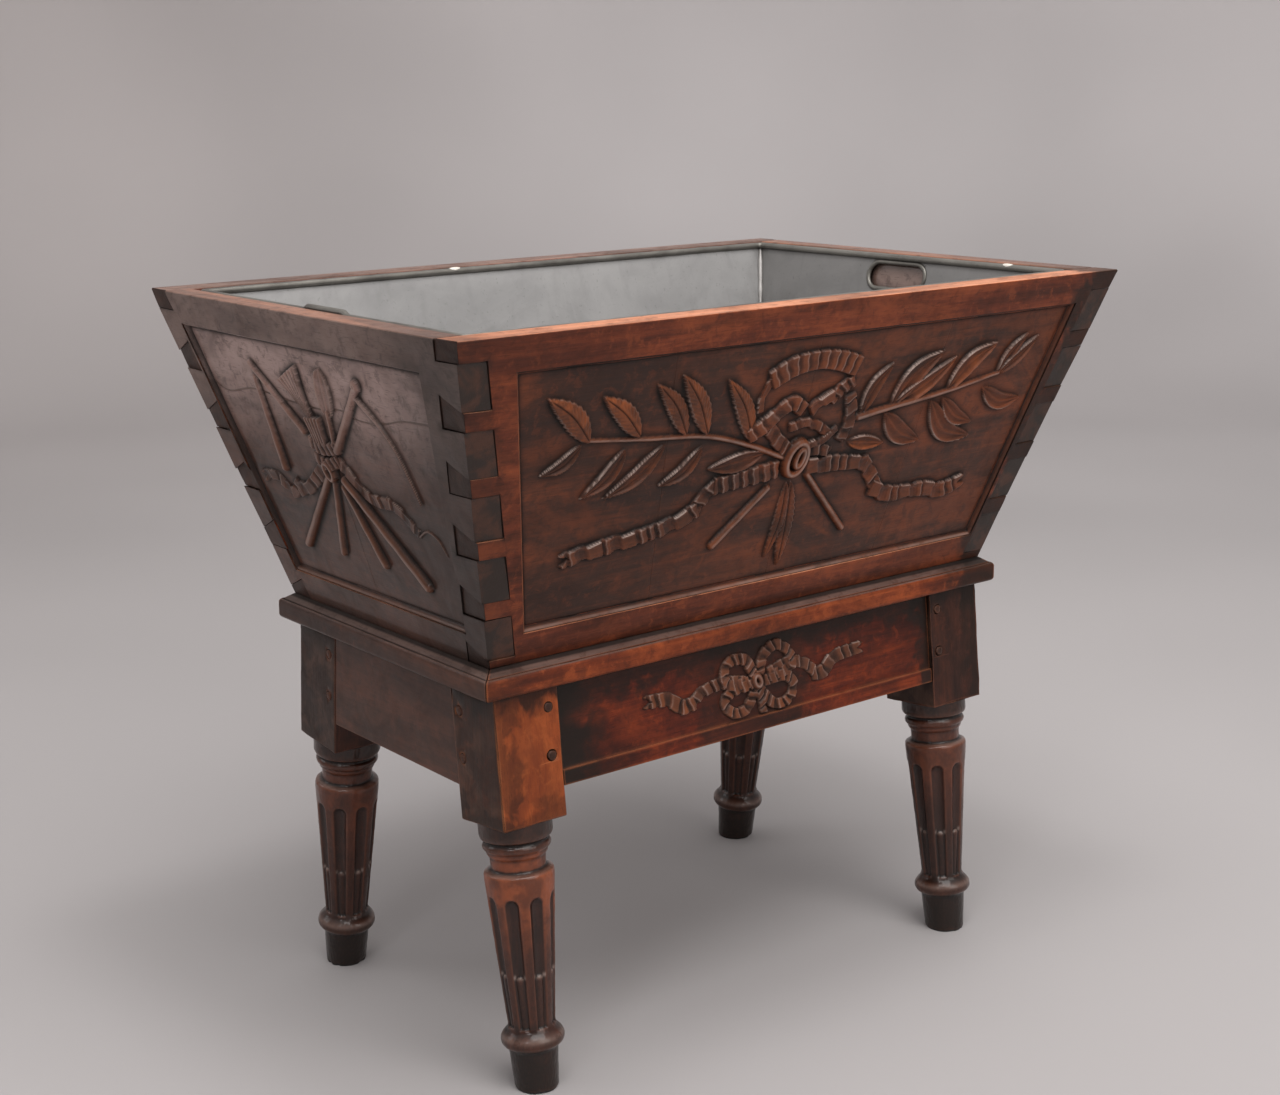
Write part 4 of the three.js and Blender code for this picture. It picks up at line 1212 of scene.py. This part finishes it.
def swell(radius, crown, low, high, steps):
    """A bulge between two heights."""
    share = np.linspace(0, 1, steps + 1)
    bulge = radius + (crown - radius) * np.sin(np.pi * share) ** (2 / 3)
    return list(zip(low + (high - low) * share, bulge))


def turning():
    """The turned part's outline as heights and radii, from the floor up."""
    shares = (FOOT_SHARE, TORUS_SHARE, SHOULDER_SHARE, LIP_SHARE, NECK_TOP_SHARE, RING_SHARE,
              OVOLO_SHARE)
    foot, ankle, shoulder, lip, neck, ring_low, ovolo = (share * TURNED for share in shares)
    edge = (ring_low - neck) / 2
    return np.array([
        (0, FOOT_RADIUS - 1.2), (2, FOOT_RADIUS),
        (foot - 2.4, FOOT_TOP_RADIUS), (foot - 1.2, FOOT_TOP_RADIUS + 1.5),
        *((foot + rise, TORUS_RADIUS - inset) for rise, inset in TORUS_PROFILE),
        (ankle, ANKLE_RADIUS), (shoulder, SHOULDER_RADIUS), (lip - edge, SHOULDER_RADIUS),
        (lip - edge / 3, SHOULDER_RADIUS - edge / 4), (lip, SHOULDER_RADIUS - edge),
        (lip + 0.8, NECK_RADIUS), (neck - 3.5, NECK_RADIUS + 0.4), (neck, NECK_RADIUS + 2.8),
        *swell(NECK_RADIUS + edge, RING_RADIUS, ring_low - edge, ovolo - edge, 8),
        (ovolo - 1, RING_RADIUS - 1), (ovolo, OVOLO_RADIUS - 1.2), (ovolo + edge, OVOLO_RADIUS),
        (TURNED, OVOLO_RADIUS), (TURNED + TURNED_SINK, OVOLO_RADIUS),
    ])


def stop_fluted(angle, height, radius, phase):
    """The shaft's radius with its flutes sunk and the reeds standing in them."""
    ankle = TORUS_SHARE * TURNED
    shoulder = SHOULDER_SHARE * TURNED
    taper = (SHOULDER_RADIUS - ANKLE_RADIUS) / (shoulder - ankle)
    pitch = 2 * np.pi / FLUTES
    turn = (angle - phase + pitch / 2) % pitch - pitch / 2

    def shaft(height):
        return ANKLE_RADIUS + taper * (height - ankle)

    def groove(top, size, outset):
        """A round-ended rod along the shaft: where it is met, its inner and outer sides."""
        top = top - size
        narrowing = np.minimum(shaft(height) / shaft(top), 1)
        above = np.maximum(height - top, 0)
        bore = np.sqrt(np.maximum((size * narrowing) ** 2 - above**2, 0))
        middle = shaft(height) + outset(narrowing)
        reach = bore**2 - (middle * np.sin(turn)) ** 2
        half = np.sqrt(np.maximum(reach, 0))
        return reach > 0, middle * np.cos(turn) - half, middle * np.cos(turn) + half

    sunk, hollow, _ = groove(FLUTE_TOP_SHARE * TURNED, FLUTE_RADIUS,
                             lambda narrowing: (FLUTE_RADIUS - FLUTE_DEPTH) * narrowing)
    fluted = np.where(sunk, np.minimum(radius, hollow), radius)
    stopped, _, proud = groove(REED_TOP_SHARE * TURNED, REED_RADIUS,
                               lambda narrowing: -REED_SINK - REED_RADIUS)
    reeded = np.where(stopped, np.maximum(fluted, proud), fluted)
    return np.where((height > ankle - 1) & (height < shoulder), reeded, radius)


def leg_marks(heights, plain, radius, sunk, warmth):
    """How the turned wood is worn, dirty and warm, with painted shade in its flutes and painted
    highlights on its reed tips, torus and lip.
    """
    share = heights / TURNED
    wide = wrapped_blur(wrapped_blur(wrapped_blur(radius)))
    depth = plain - radius
    shaft = smooth(TORUS_SHARE, TORUS_SHARE + 0.02, share)
    shaft = shaft * smooth(LIP_SHARE, LIP_SHARE - 0.01, share)
    neck = smooth(LIP_SHARE, LIP_SHARE + 0.01, share)
    neck = neck * smooth(RING_SHARE, RING_SHARE - 0.01, share)
    fillet = shaft * (1 - sunk) * (0.08 + 0.92 * smooth(REED_TOP_SHARE, SHOULDER_SHARE, share))
    foot = 0.65 * smooth(FOOT_SHARE + 0.01, FOOT_SHARE, share)
    # Painted highlights on the reed tips, the torus crest and the lip
    reed_tip = bell(heights - REED_TOP_SHARE * TURNED + 1.5, 2.0)
    reed_tip = reed_tip * smooth(0.5, 1.0, depth) * smooth(3.4, 2.4, depth)
    crest = bell(heights - TORUS_CREST, 2.6) + bell(share - LIP_SHARE, 0.006)
    cavity = np.clip((wide - radius) / 0.8, 0, 1)
    # The cavity in the flutes is painted shade; the grime mark darkens the foot and the ovolo
    # under the block
    return {
        "ridge": np.clip((radius - wide) / 0.8, 0, 1),
        "cavity": np.maximum(cavity, 0.30 * sunk * shaft),
        "warm": warmth * np.maximum(fillet, 0.8 * neck),
        "grime": foot + 0.5 * smooth(RING_SHARE, OVOLO_SHARE, share) + 0 * radius,
        "rim": 0.7 * reed_tip + 0.22 * crest,
    }


def turned_leg(word, side, end, material, seed, warmth, phase):
    outline = turning()
    heights = np.linspace(0, TURNED + TURNED_SINK, RISE_STEPS + 1)[:, None]
    angles = np.linspace(0, 2 * np.pi, ROUND_STEPS, endpoint=False)[None, :]
    plain = np.interp(heights, outline[:, 0], outline[:, 1]) + 0 * angles
    radius = stop_fluted(angles, heights, plain, phase)
    sunk = smooth(0.5, 1.8, plain - radius)
    radius = 0.75 * radius + 0.25 * wrapped_blur(radius)
    unit = np.stack(np.broadcast_arrays(np.cos(angles), np.sin(angles), heights / 40), axis=2)
    radius = radius - 0.35 * (0.5 + 0.5 * drift(unit, 0.22, seed))
    radius = radius - 0.15 * drift(unit, 0.07, seed + 1)
    radius = radius - 1.8 * smooth(6, 0, heights) * smooth(0.1, 0.8, drift(unit, 0.3, seed + 2))
    level = -side * radius * np.sin(angles) * math.tan(RAKE)
    leaned = heights + smooth(FOOT_SHARE * TURNED, 0, heights) * level
    places = np.stack([radius * np.cos(angles), radius * np.sin(angles), leaned], axis=2)
    placed = np.array(leaning(side, end))
    world = places.reshape(-1, 3) @ placed[:3, :3].T + placed[:3, 3]
    world[:, 2] = np.maximum(world[:, 2], 0)
    faces = lofted_faces(len(heights), ROUND_STEPS)
    mesh_piece(f"leg_{word}_turning", world, faces, material, CARCASE,
               [f"leg_{word}"], leg_marks(heights, plain, radius, sunk, warmth))


def leg_block(word, side, end, material, seed):
    """The square block over a turned leg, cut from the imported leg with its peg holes."""
    placed = leaning(side, end)
    inverse = placed.inverted()
    up = (placed.to_3x3() @ Vector((0, 0, 1))).normalized()
    mesh = clean_copy(f"leg_{word}")
    slice_at(mesh, placed @ Vector((0, 0, TURNED)) * MM, up, clear_inner=True)
    bmesh.ops.holes_fill(mesh, edges=[edge for edge in mesh.edges if edge.is_boundary])

    def on_arris(middle):
        spot = inverse @ middle
        near, far = sorted([abs(spot.x), abs(spot.y)])
        return near > BLOCK / 2 - 1 or (far > BLOCK / 2 - 1 and spot.z < TURNED + 1)

    round_edges(mesh, BLOCK_ROUNDING, 3, on_arris)
    slice_at_stations(mesh, STATION)
    wear_down(mesh, seed, BLOCK_EDGE_WEAR)
    solid_piece(f"leg_{word}_block", mesh, material, CARCASE, f"leg_{word}")


def peg(node, material, seed):
    """A riven peg's end, not quite round, in place of the plain rod."""
    corners = corners_of(node)
    middle = corners.mean(axis=0)
    axis = np.linalg.svd(corners - middle)[2][0]
    half = abs((corners - middle) @ axis).max()
    first = np.cross(axis, Z)
    first /= np.linalg.norm(first)
    angles = np.linspace(0, 2 * np.pi, PEG_STEPS, endpoint=False)
    round_one = circle(first, np.cross(axis, first), angles)
    uneven = 1 + 0.05 * np.sin(3 * angles + seed) + 0.03 * np.cos(5 * angles)
    places = [
        middle + axis * side * (half - inset) + round_one * (radius * uneven)[:, None]
        for side, inset, radius in PEG_PROFILE
    ]
    faces = lofted_faces(len(places), PEG_STEPS)
    mesh_piece(f"{node}_end", np.concatenate(places), faces, material, CARCASE, [node])


# Liner

def tube(name, line, radii, sides, material, nodes=(), closed=False):
    """A round bar along a line, of one radius or of a radius at each point."""
    line = np.asarray(line, float)
    ahead = np.roll(line, -1, 0) - np.roll(line, 1, 0)
    if not closed:
        ahead[0], ahead[-1] = line[1] - line[0], line[-1] - line[-2]
    ahead /= np.linalg.norm(ahead, axis=1)[:, None]
    guide = np.cross(ahead[0], Z if abs(ahead[0][2]) < 0.8 else X)
    angles = np.linspace(0, 2 * np.pi, sides, endpoint=False)
    rows = []
    for place, way, radius in zip(line, ahead, np.broadcast_to(radii, len(line))):
        guide = guide - way * (guide @ way)
        guide /= np.linalg.norm(guide)
        rows.append(place + radius * circle(guide, np.cross(way, guide), angles))
    if closed:
        faces = grid_faces(len(rows), sides, closed=True)
        last = (len(rows) - 1) * sides
        for k in range(sides):
            following = (k + 1) % sides
            faces.append([last + k, last + following, following, k])
    else:
        faces = lofted_faces(len(rows), sides)
    mesh_piece(name, np.concatenate(rows), faces, material, LINER, nodes)


def rim_line():
    """The wired rim's middle line, once round, bowed up over the left hand hole."""
    half_x = sum(abs(corner[0]) for corner in box_of("liner_rim_right")) / 2
    half_y = sum(abs(corner[1]) for corner in box_of("liner_rim_back")) / 2
    height = sum(corner[2] for corner in box_of("liner_rim_back")) / 2 - RIM_LOWER
    corners = []
    for quarter, (sign_x, sign_y) in enumerate(CORNER_SIGNS):
        centre = np.array([sign_x * (half_x - RIM_CORNER), sign_y * (half_y - RIM_CORNER)])
        for angle in math.pi / 2 * (quarter + np.linspace(0, 1, 6)):
            corners.append(centre + RIM_CORNER * np.array([math.cos(angle), math.sin(angle)]))
    line = []
    for here, following in zip(corners, corners[1:] + corners[:1]):
        count = max(1, int(np.linalg.norm(following - here) / RIM_STEP))
        line.extend(here + (following - here) * share for share in np.arange(count) / count)
    line = np.array(line)
    gap = abs(line[:, 1] - RIM_BOW_PLACE)
    bow = RIM_BOW * smooth(RIM_BOW_WIDTH / 2, RIM_BOW_FLAT / 2, gap)
    return np.column_stack([line, height + np.where(line[:, 0] < -half_x + 1, bow, 0)])


def rim_spots(line, material):
    """Blobs of bright solder where the rim has been mended, at a place along X or Y."""
    for number, (x, y) in enumerate(RIM_SPOTS):
        axis = 1 if y is None else 0
        on_side = line[:, axis] > line[:, axis].max() - 1
        gap = abs(line[:, 1 - axis] - (x if y is None else y))
        middle = np.argmin(np.where(on_side, gap, np.inf))
        spot = line[[(middle + step) % len(line) for step in range(-3, 4)]] + Z * SPOT_LIFT
        radii = RIM_RADIUS * np.array(SPOT_SHARES)
        tube(f"rim_solder_{number + 1}", spot, radii, 12, material)


def grip_line(node, outward):
    """The middle line of the wire round a hand hole."""
    middle = sum(box_of(node)) / 2
    slope = math.atan2(HALF_LENGTHS[1] - HALF_LENGTHS[0], TOP - SEAT)
    up = outward * math.sin(slope) + Z * math.cos(slope)
    bend = GRIP_HEIGHT / 2 - GRIP_RADIUS
    straight = (GRIP_WIDTH - GRIP_HEIGHT) / 2
    points = []
    for side, first in ((1, -math.pi / 2), (-1, math.pi / 2)):
        for angle in first + math.pi * np.linspace(0, 1, 15):
            across = side * straight + bend * math.cos(angle)
            points.append(middle + Y * across + up * bend * math.sin(angle))
    return points


def solder_seams(material):
    """Beads of solder up the four corners and round the liner's floor."""
    half_x, half_y, low = box_of("liner_floor")[1]
    high = box_of("liner_left")[1][2]
    inner_x = extent("liner_right", high, 0)[0]
    inner_y = extent("liner_back", high, 1)[0]
    for sign_x, sign_y, word in ((1, 1, "back_right"), (1, -1, "front_right"),
                                 (-1, 1, "back_left"), (-1, -1, "front_left")):
        foot = np.array([sign_x * half_x, sign_y * half_y, low])
        head = np.array([sign_x * (inner_x - 1.0), sign_y * (inner_y - 1.0), high - 1])
        line = foot + np.linspace(0, 1, 60)[:, None] * (head - foot)
        radii = SEAM_RADIUS + 0.9 * drift(line, 11, 3) + 0.3 * drift(line, 3, 4)
        tube(f"solder_{word}", line, radii, 10, material)
    corners = [np.array([x * half_x, y * half_y, low]) for x, y in CORNER_SIGNS]
    line = []
    for start, end in zip(corners, corners[1:] + corners[:1]):
        line.extend(start + np.linspace(0, 1, 90, endpoint=False)[:, None] * (end - start))
    radii = FLOOR_SEAM_RADIUS + 0.5 * drift(line, 11, 6)
    tube("solder_floor", line, radii, 8, material, closed=True)


# Camera, lamps and stage

def add_item(name, data):
    item = bpy.data.objects.new(name, data)
    bpy.context.scene.collection.objects.link(item)
    return item


def camera():
    sight = Vector((
        math.sin(CAMERA_YAW) * math.cos(CAMERA_PITCH),
        math.cos(CAMERA_YAW) * math.cos(CAMERA_PITCH),
        math.sin(CAMERA_PITCH),
    ))
    level = Vector((math.cos(CAMERA_YAW), -math.sin(CAMERA_YAW), 0))
    upright = level.cross(sight)
    right = level * math.cos(CAMERA_ROLL) + upright * math.sin(CAMERA_ROLL)
    up = upright * math.cos(CAMERA_ROLL) - level * math.sin(CAMERA_ROLL)
    data = bpy.data.cameras.new("camera")
    data.lens = CAMERA_LENS
    data.sensor_width = CAMERA_SENSOR
    item = add_item("camera", data)
    turned = Matrix((right, up, -sight)).transposed().to_4x4()
    item.matrix_world = Matrix.Translation(Vector(CAMERA_PLACE) * MM) @ turned
    bpy.context.scene.camera = item


def studio():
    """A floor that sweeps up all round into a plain wall."""
    nodes = Nodes("pale_paper")
    place = nodes.add("ShaderNodeTexCoord").outputs["Object"]
    rise = nodes.add("ShaderNodeSeparateXYZ", {0: place}).outputs["Z"]
    across = nodes.along(place, STAGE_ACROSS)
    # Painted shade: the wall darker towards one side
    wall = nodes.mix(nodes.between(across, -1.9, 0.3), DIM_WALL_COLOUR, WALL_COLOUR)
    away = nodes.add("ShaderNodeVectorMath", {0: nodes.places((1, 1, 0))}, operation="LENGTH")
    inputs = {0: away.outputs["Value"], 1: 0.2, 2: rise}
    measure = nodes.add("ShaderNodeMath", inputs, operation="MULTIPLY_ADD").outputs[0]
    cloud = nodes.noise(nodes.places((0.6, 0.6, 0.6)), 2, 0.5)
    # Painted light: the floor turns to the paler wall colour further out and higher up
    shade = nodes.layered(FLOOR_COLOUR, (
        (nodes.between(measure, -0.7, 1.8), wall),
        (nodes.between(cloud, 0.3, 0.7, 0.0, 0.3), scaled(FLOOR_COLOUR, 0.94)),
    ))
    profile = [(radius, 0.0) for radius in STAGE_FLAT_RADII]
    for angle in math.pi / 2 * np.linspace(0, 1, 13):
        radius = STAGE_RADIUS + STAGE_CURVE * math.sin(angle)
        profile.append((radius, STAGE_CURVE * (1 - math.cos(angle))))
    profile.append((STAGE_RADIUS + STAGE_CURVE, STAGE_HEIGHT))
    angles = np.linspace(0, 2 * np.pi, 96, endpoint=False)
    rows = [radius * circle(X, Y, angles) + height * Z for radius, height in profile]
    faces = [face[::-1] for face in grid_faces(len(rows), len(angles), closed=True)]
    faces.append(list(range(len(angles))))
    mesh = bpy.data.meshes.new("studio")
    mesh.from_pydata((np.concatenate(rows) * MM).tolist(), [], faces)
    mesh.shade_smooth()
    material = nodes.shaded(Base_Color=shade, Roughness=0.75, Specular_IOR_Level=0.2)
    mesh.materials.append(material)
    add_item("studio", mesh)


def light():
    world = bpy.data.worlds.new("soft_light")
    world.use_nodes = True
    background = world.node_tree.nodes["Background"]
    background.inputs["Color"].default_value = WORLD_COLOUR
    background.inputs["Strength"].default_value = WORLD_STRENGTH
    bpy.context.scene.world = world
    for name, (place, target, size, power, tint) in LAMPS.items():
        data = bpy.data.lights.new(name, "AREA")
        data.shape = "RECTANGLE"
        data.size, data.size_y = np.broadcast_to(size, 2) * MM
        data.energy = power
        data.color = tint
        item = add_item(name, data)
        item.location = Vector(place) * MM
        sight = Vector((0, 0, target)) - Vector(place)
        item.rotation_euler = sight.to_track_quat("-Z", "Y").to_euler()


# Assembly

def trough():
    front = walnut("trough_walnut_x", "x", TROUGH_TONES, TROUGH_WORN, patina=0.4, rub=None,
                   side=PIN_GRAIN, crown=TROUGH_CROWN, glow=0.6,
                   dark_patches=((RIGHT_FACE.out, None, RIGHT_STILE - 52, RIGHT_STILE - 30, 0.85),
                           (LEFT_FACE.out, None, RIGHT_STILE - 40, RIGHT_STILE - 22, 0.35)))
    back = walnut("back_walnut_x", "x", TROUGH_TONES, TROUGH_WORN, patina=0.5, rub=None,
                  side=PIN_GRAIN, crown=BACK_CROWN, glow=0.4, shift=8.3)
    ends = walnut("trough_walnut_y", "y", END_TONES, END_WORN, patina=0.3, shift=1.7, coat=0.3,
                  rub=None, side=END_GRAIN, crown=END_CROWN, painted_sheen=END_PAINTED_SHEEN, dark_patches=END_DARK_PATCHES)
    trough_board("trough_front", front, 11)
    trough_board("trough_back", back, 12)
    trough_board("trough_left_end", ends, 13)
    trough_board("trough_right_end", ends, 14)
    plain_timber("trough_bottom", front, 15)


def ledges_and_rails():
    ledge_x = walnut("stand_walnut_x", "x", LEDGE_TONES, STAND_WORN, patina=0.5, glow=0.6,
                     shift=2.3, side=PIN_GRAIN, crown=STAND_CROWN,
                     dark_patches=((X, None, 245, 300, 0.85), (X, None, -265, -300, 0.35)))
    ledge_y = walnut("stand_walnut_y", "y", END_TONES, END_WORN, patina=0.4, shift=3.1,
                     coat=0.2, side=END_GRAIN, crown=STAND_CROWN)
    # The rail's top is painted shadow under the ledge, and its ends painted shade beside the
    # blocks
    rail_x = walnut("rail_walnut_x", "x", STAND_TONES, STAND_WORN, patina=0.55, glow=0.5,
                    shift=2.9, dark_patches=((Z, None, 365, 388, 0.8), (X, None, -185, -235, 0.95),
                                       (X, None, 212, 236, 0.9), (X, -5, 90, 55, 0.6)))
    for node, material, seed in (
        ("ledge_front", ledge_x, 16), ("ledge_back", ledge_x, 17), ("ledge_left", ledge_y, 18),
        ("ledge_right", ledge_y, 19), ("rail_front", rail_x, 20), ("rail_back", rail_x, 21),
        ("rail_left", ledge_y, 22), ("rail_right", ledge_y, 23),
    ):
        plain_timber(node, material, seed)


def carvings():
    field = walnut("carved_walnut_x", "x", FIELD_TONES, FIELD_WORN, FIELD_WARM, patina=0.35,
                   glow=0.95, shift=0.4, coat=0.12, rub=None, ridges=0.14)
    end_field = walnut("carved_walnut_y", "y", END_TONES, END_WORN, END_WARM, patina=0.3,
                       shift=1.9, coat=0.3, rub=None, painted_sheen=END_FIELD_PAINTED_SHEEN, ridges=0.28,
                       dark_patches=END_DARK_PATCHES)
    apron = walnut("apron_walnut_x", "x", END_TONES, FIELD_WORN, FIELD_WARM, patina=0.5,
                   glow=0.2, shift=2.3, rub=None, ridges=0.3)
    front_carving(field)
    end_carving("left_carving", "trough_left_end", LEFT_FACE, 1, end_field, 41)
    end_carving("right_carving", "trough_right_end", RIGHT_FACE, -1, end_field, 47)
    apron_carving(apron)


def legs():
    # The block's top is painted shadow under the ledge
    upright = walnut("stand_walnut_z", "z", LEG_TONES, LEG_WORN, patina=0.5, glow=0.5, shift=4.2,
                     side=BLOCK_SIDE_SHADE, dark_patches=((Z, None, 372, 392, 0.7), (X, None, 296, 312, 0.6)))
    # The block's top is painted shadow under the ledge
    bright = walnut("bright_walnut_z", "z", BRIGHT_TONES, BRIGHT_WORN, patina=0.3, glow=0.5,
                    shift=5.9, side=BLOCK_SIDE_SHADE,
                    dark_patches=((Z, None, 366, 388, 0.85), (Z, None, 292, 274, 0.45),
                            (X, None, -300, -312, 0.5)))
    turned = walnut("turned_walnut_z", "z", LEG_TONES, LEG_WORN, LEG_WARM, patina=0.5, shift=4.2,
                    shine=0.28, coat=0.45, rub=None, ridges=0.32,
                    dark_patches=((Z, None, 44, 34, 0.6), (Z, None, 190, 70, 0.35)))
    pegs = walnut("peg_wood_end", "y", END_TONES, END_WORN, patina=0.8, glow=0.1, shift=6.6)
    for side_word, side in (("front", -1), ("back", 1)):
        for end_word, end in (("left", -1), ("right", 1)):
            word = f"{side_word}_{end_word}"
            seed = 60 + 10 * side + 3 * end
            warmth, phase, block_wood = 0.3, 0.0, upright
            if word == "front_left":
                warmth, phase, block_wood = 0.9, FLUTE_PHASE, bright
            turned_leg(word, side, end, turned, seed, warmth, phase)
            leg_block(word, side, end, block_wood, seed)
            for tenon in ("long_1", "long_2", "side_1", "side_2"):
                peg(f"peg_{word}_{tenon}", pegs, seed)


def liner():
    sheet = zinc("zinc_sheet", (0.235, 0.232, 0.231), (0.30, 0.295, 0.292), 0.25, 0.52)
    # Painted shade: a darker copy of the zinc for the liner's right wall
    shaded_sheet = zinc("shaded_zinc_sheet", (0.160, 0.156, 0.153), (0.205, 0.199, 0.195), 0.25, 0.55)
    wire = zinc("rim_wire", (0.10, 0.093, 0.083), (0.22, 0.21, 0.19), 0.6, 0.40)
    solder = zinc("solder", (0.30, 0.285, 0.275), (0.38, 0.365, 0.355), 0.4, 0.45)
    bead = zinc("bright_solder", (0.62, 0.58, 0.52), (0.72, 0.68, 0.62), 0.2, 0.4)
    for word, seed in (("front", 71), ("back", 72), ("left", 73), ("right", 74), ("floor", 75)):
        liner_sheet(f"liner_{word}", shaded_sheet if word == "right" else sheet, seed)
    line = rim_line()
    rims = [f"liner_rim_{word}" for word in ("front", "back", "left", "right")]
    radii = RIM_RADIUS + 0.18 * drift(line, 12, 8)
    tube("liner_rim_wire", line, radii, 20, wire, rims, closed=True)
    rim_spots(line, bead)
    for word, outward in (("left", -X), ("right", X)):
        node = f"liner_grip_{word}"
        tube(f"{node}_wire", grip_line(node, outward), GRIP_RADIUS, 14, wire, [node], closed=True)
    solder_seams(solder)


bpy.context.scene.view_settings.view_transform = "Standard"
camera()
studio()
light()
trough()
ledges_and_rails()
carvings()
legs()
liner()
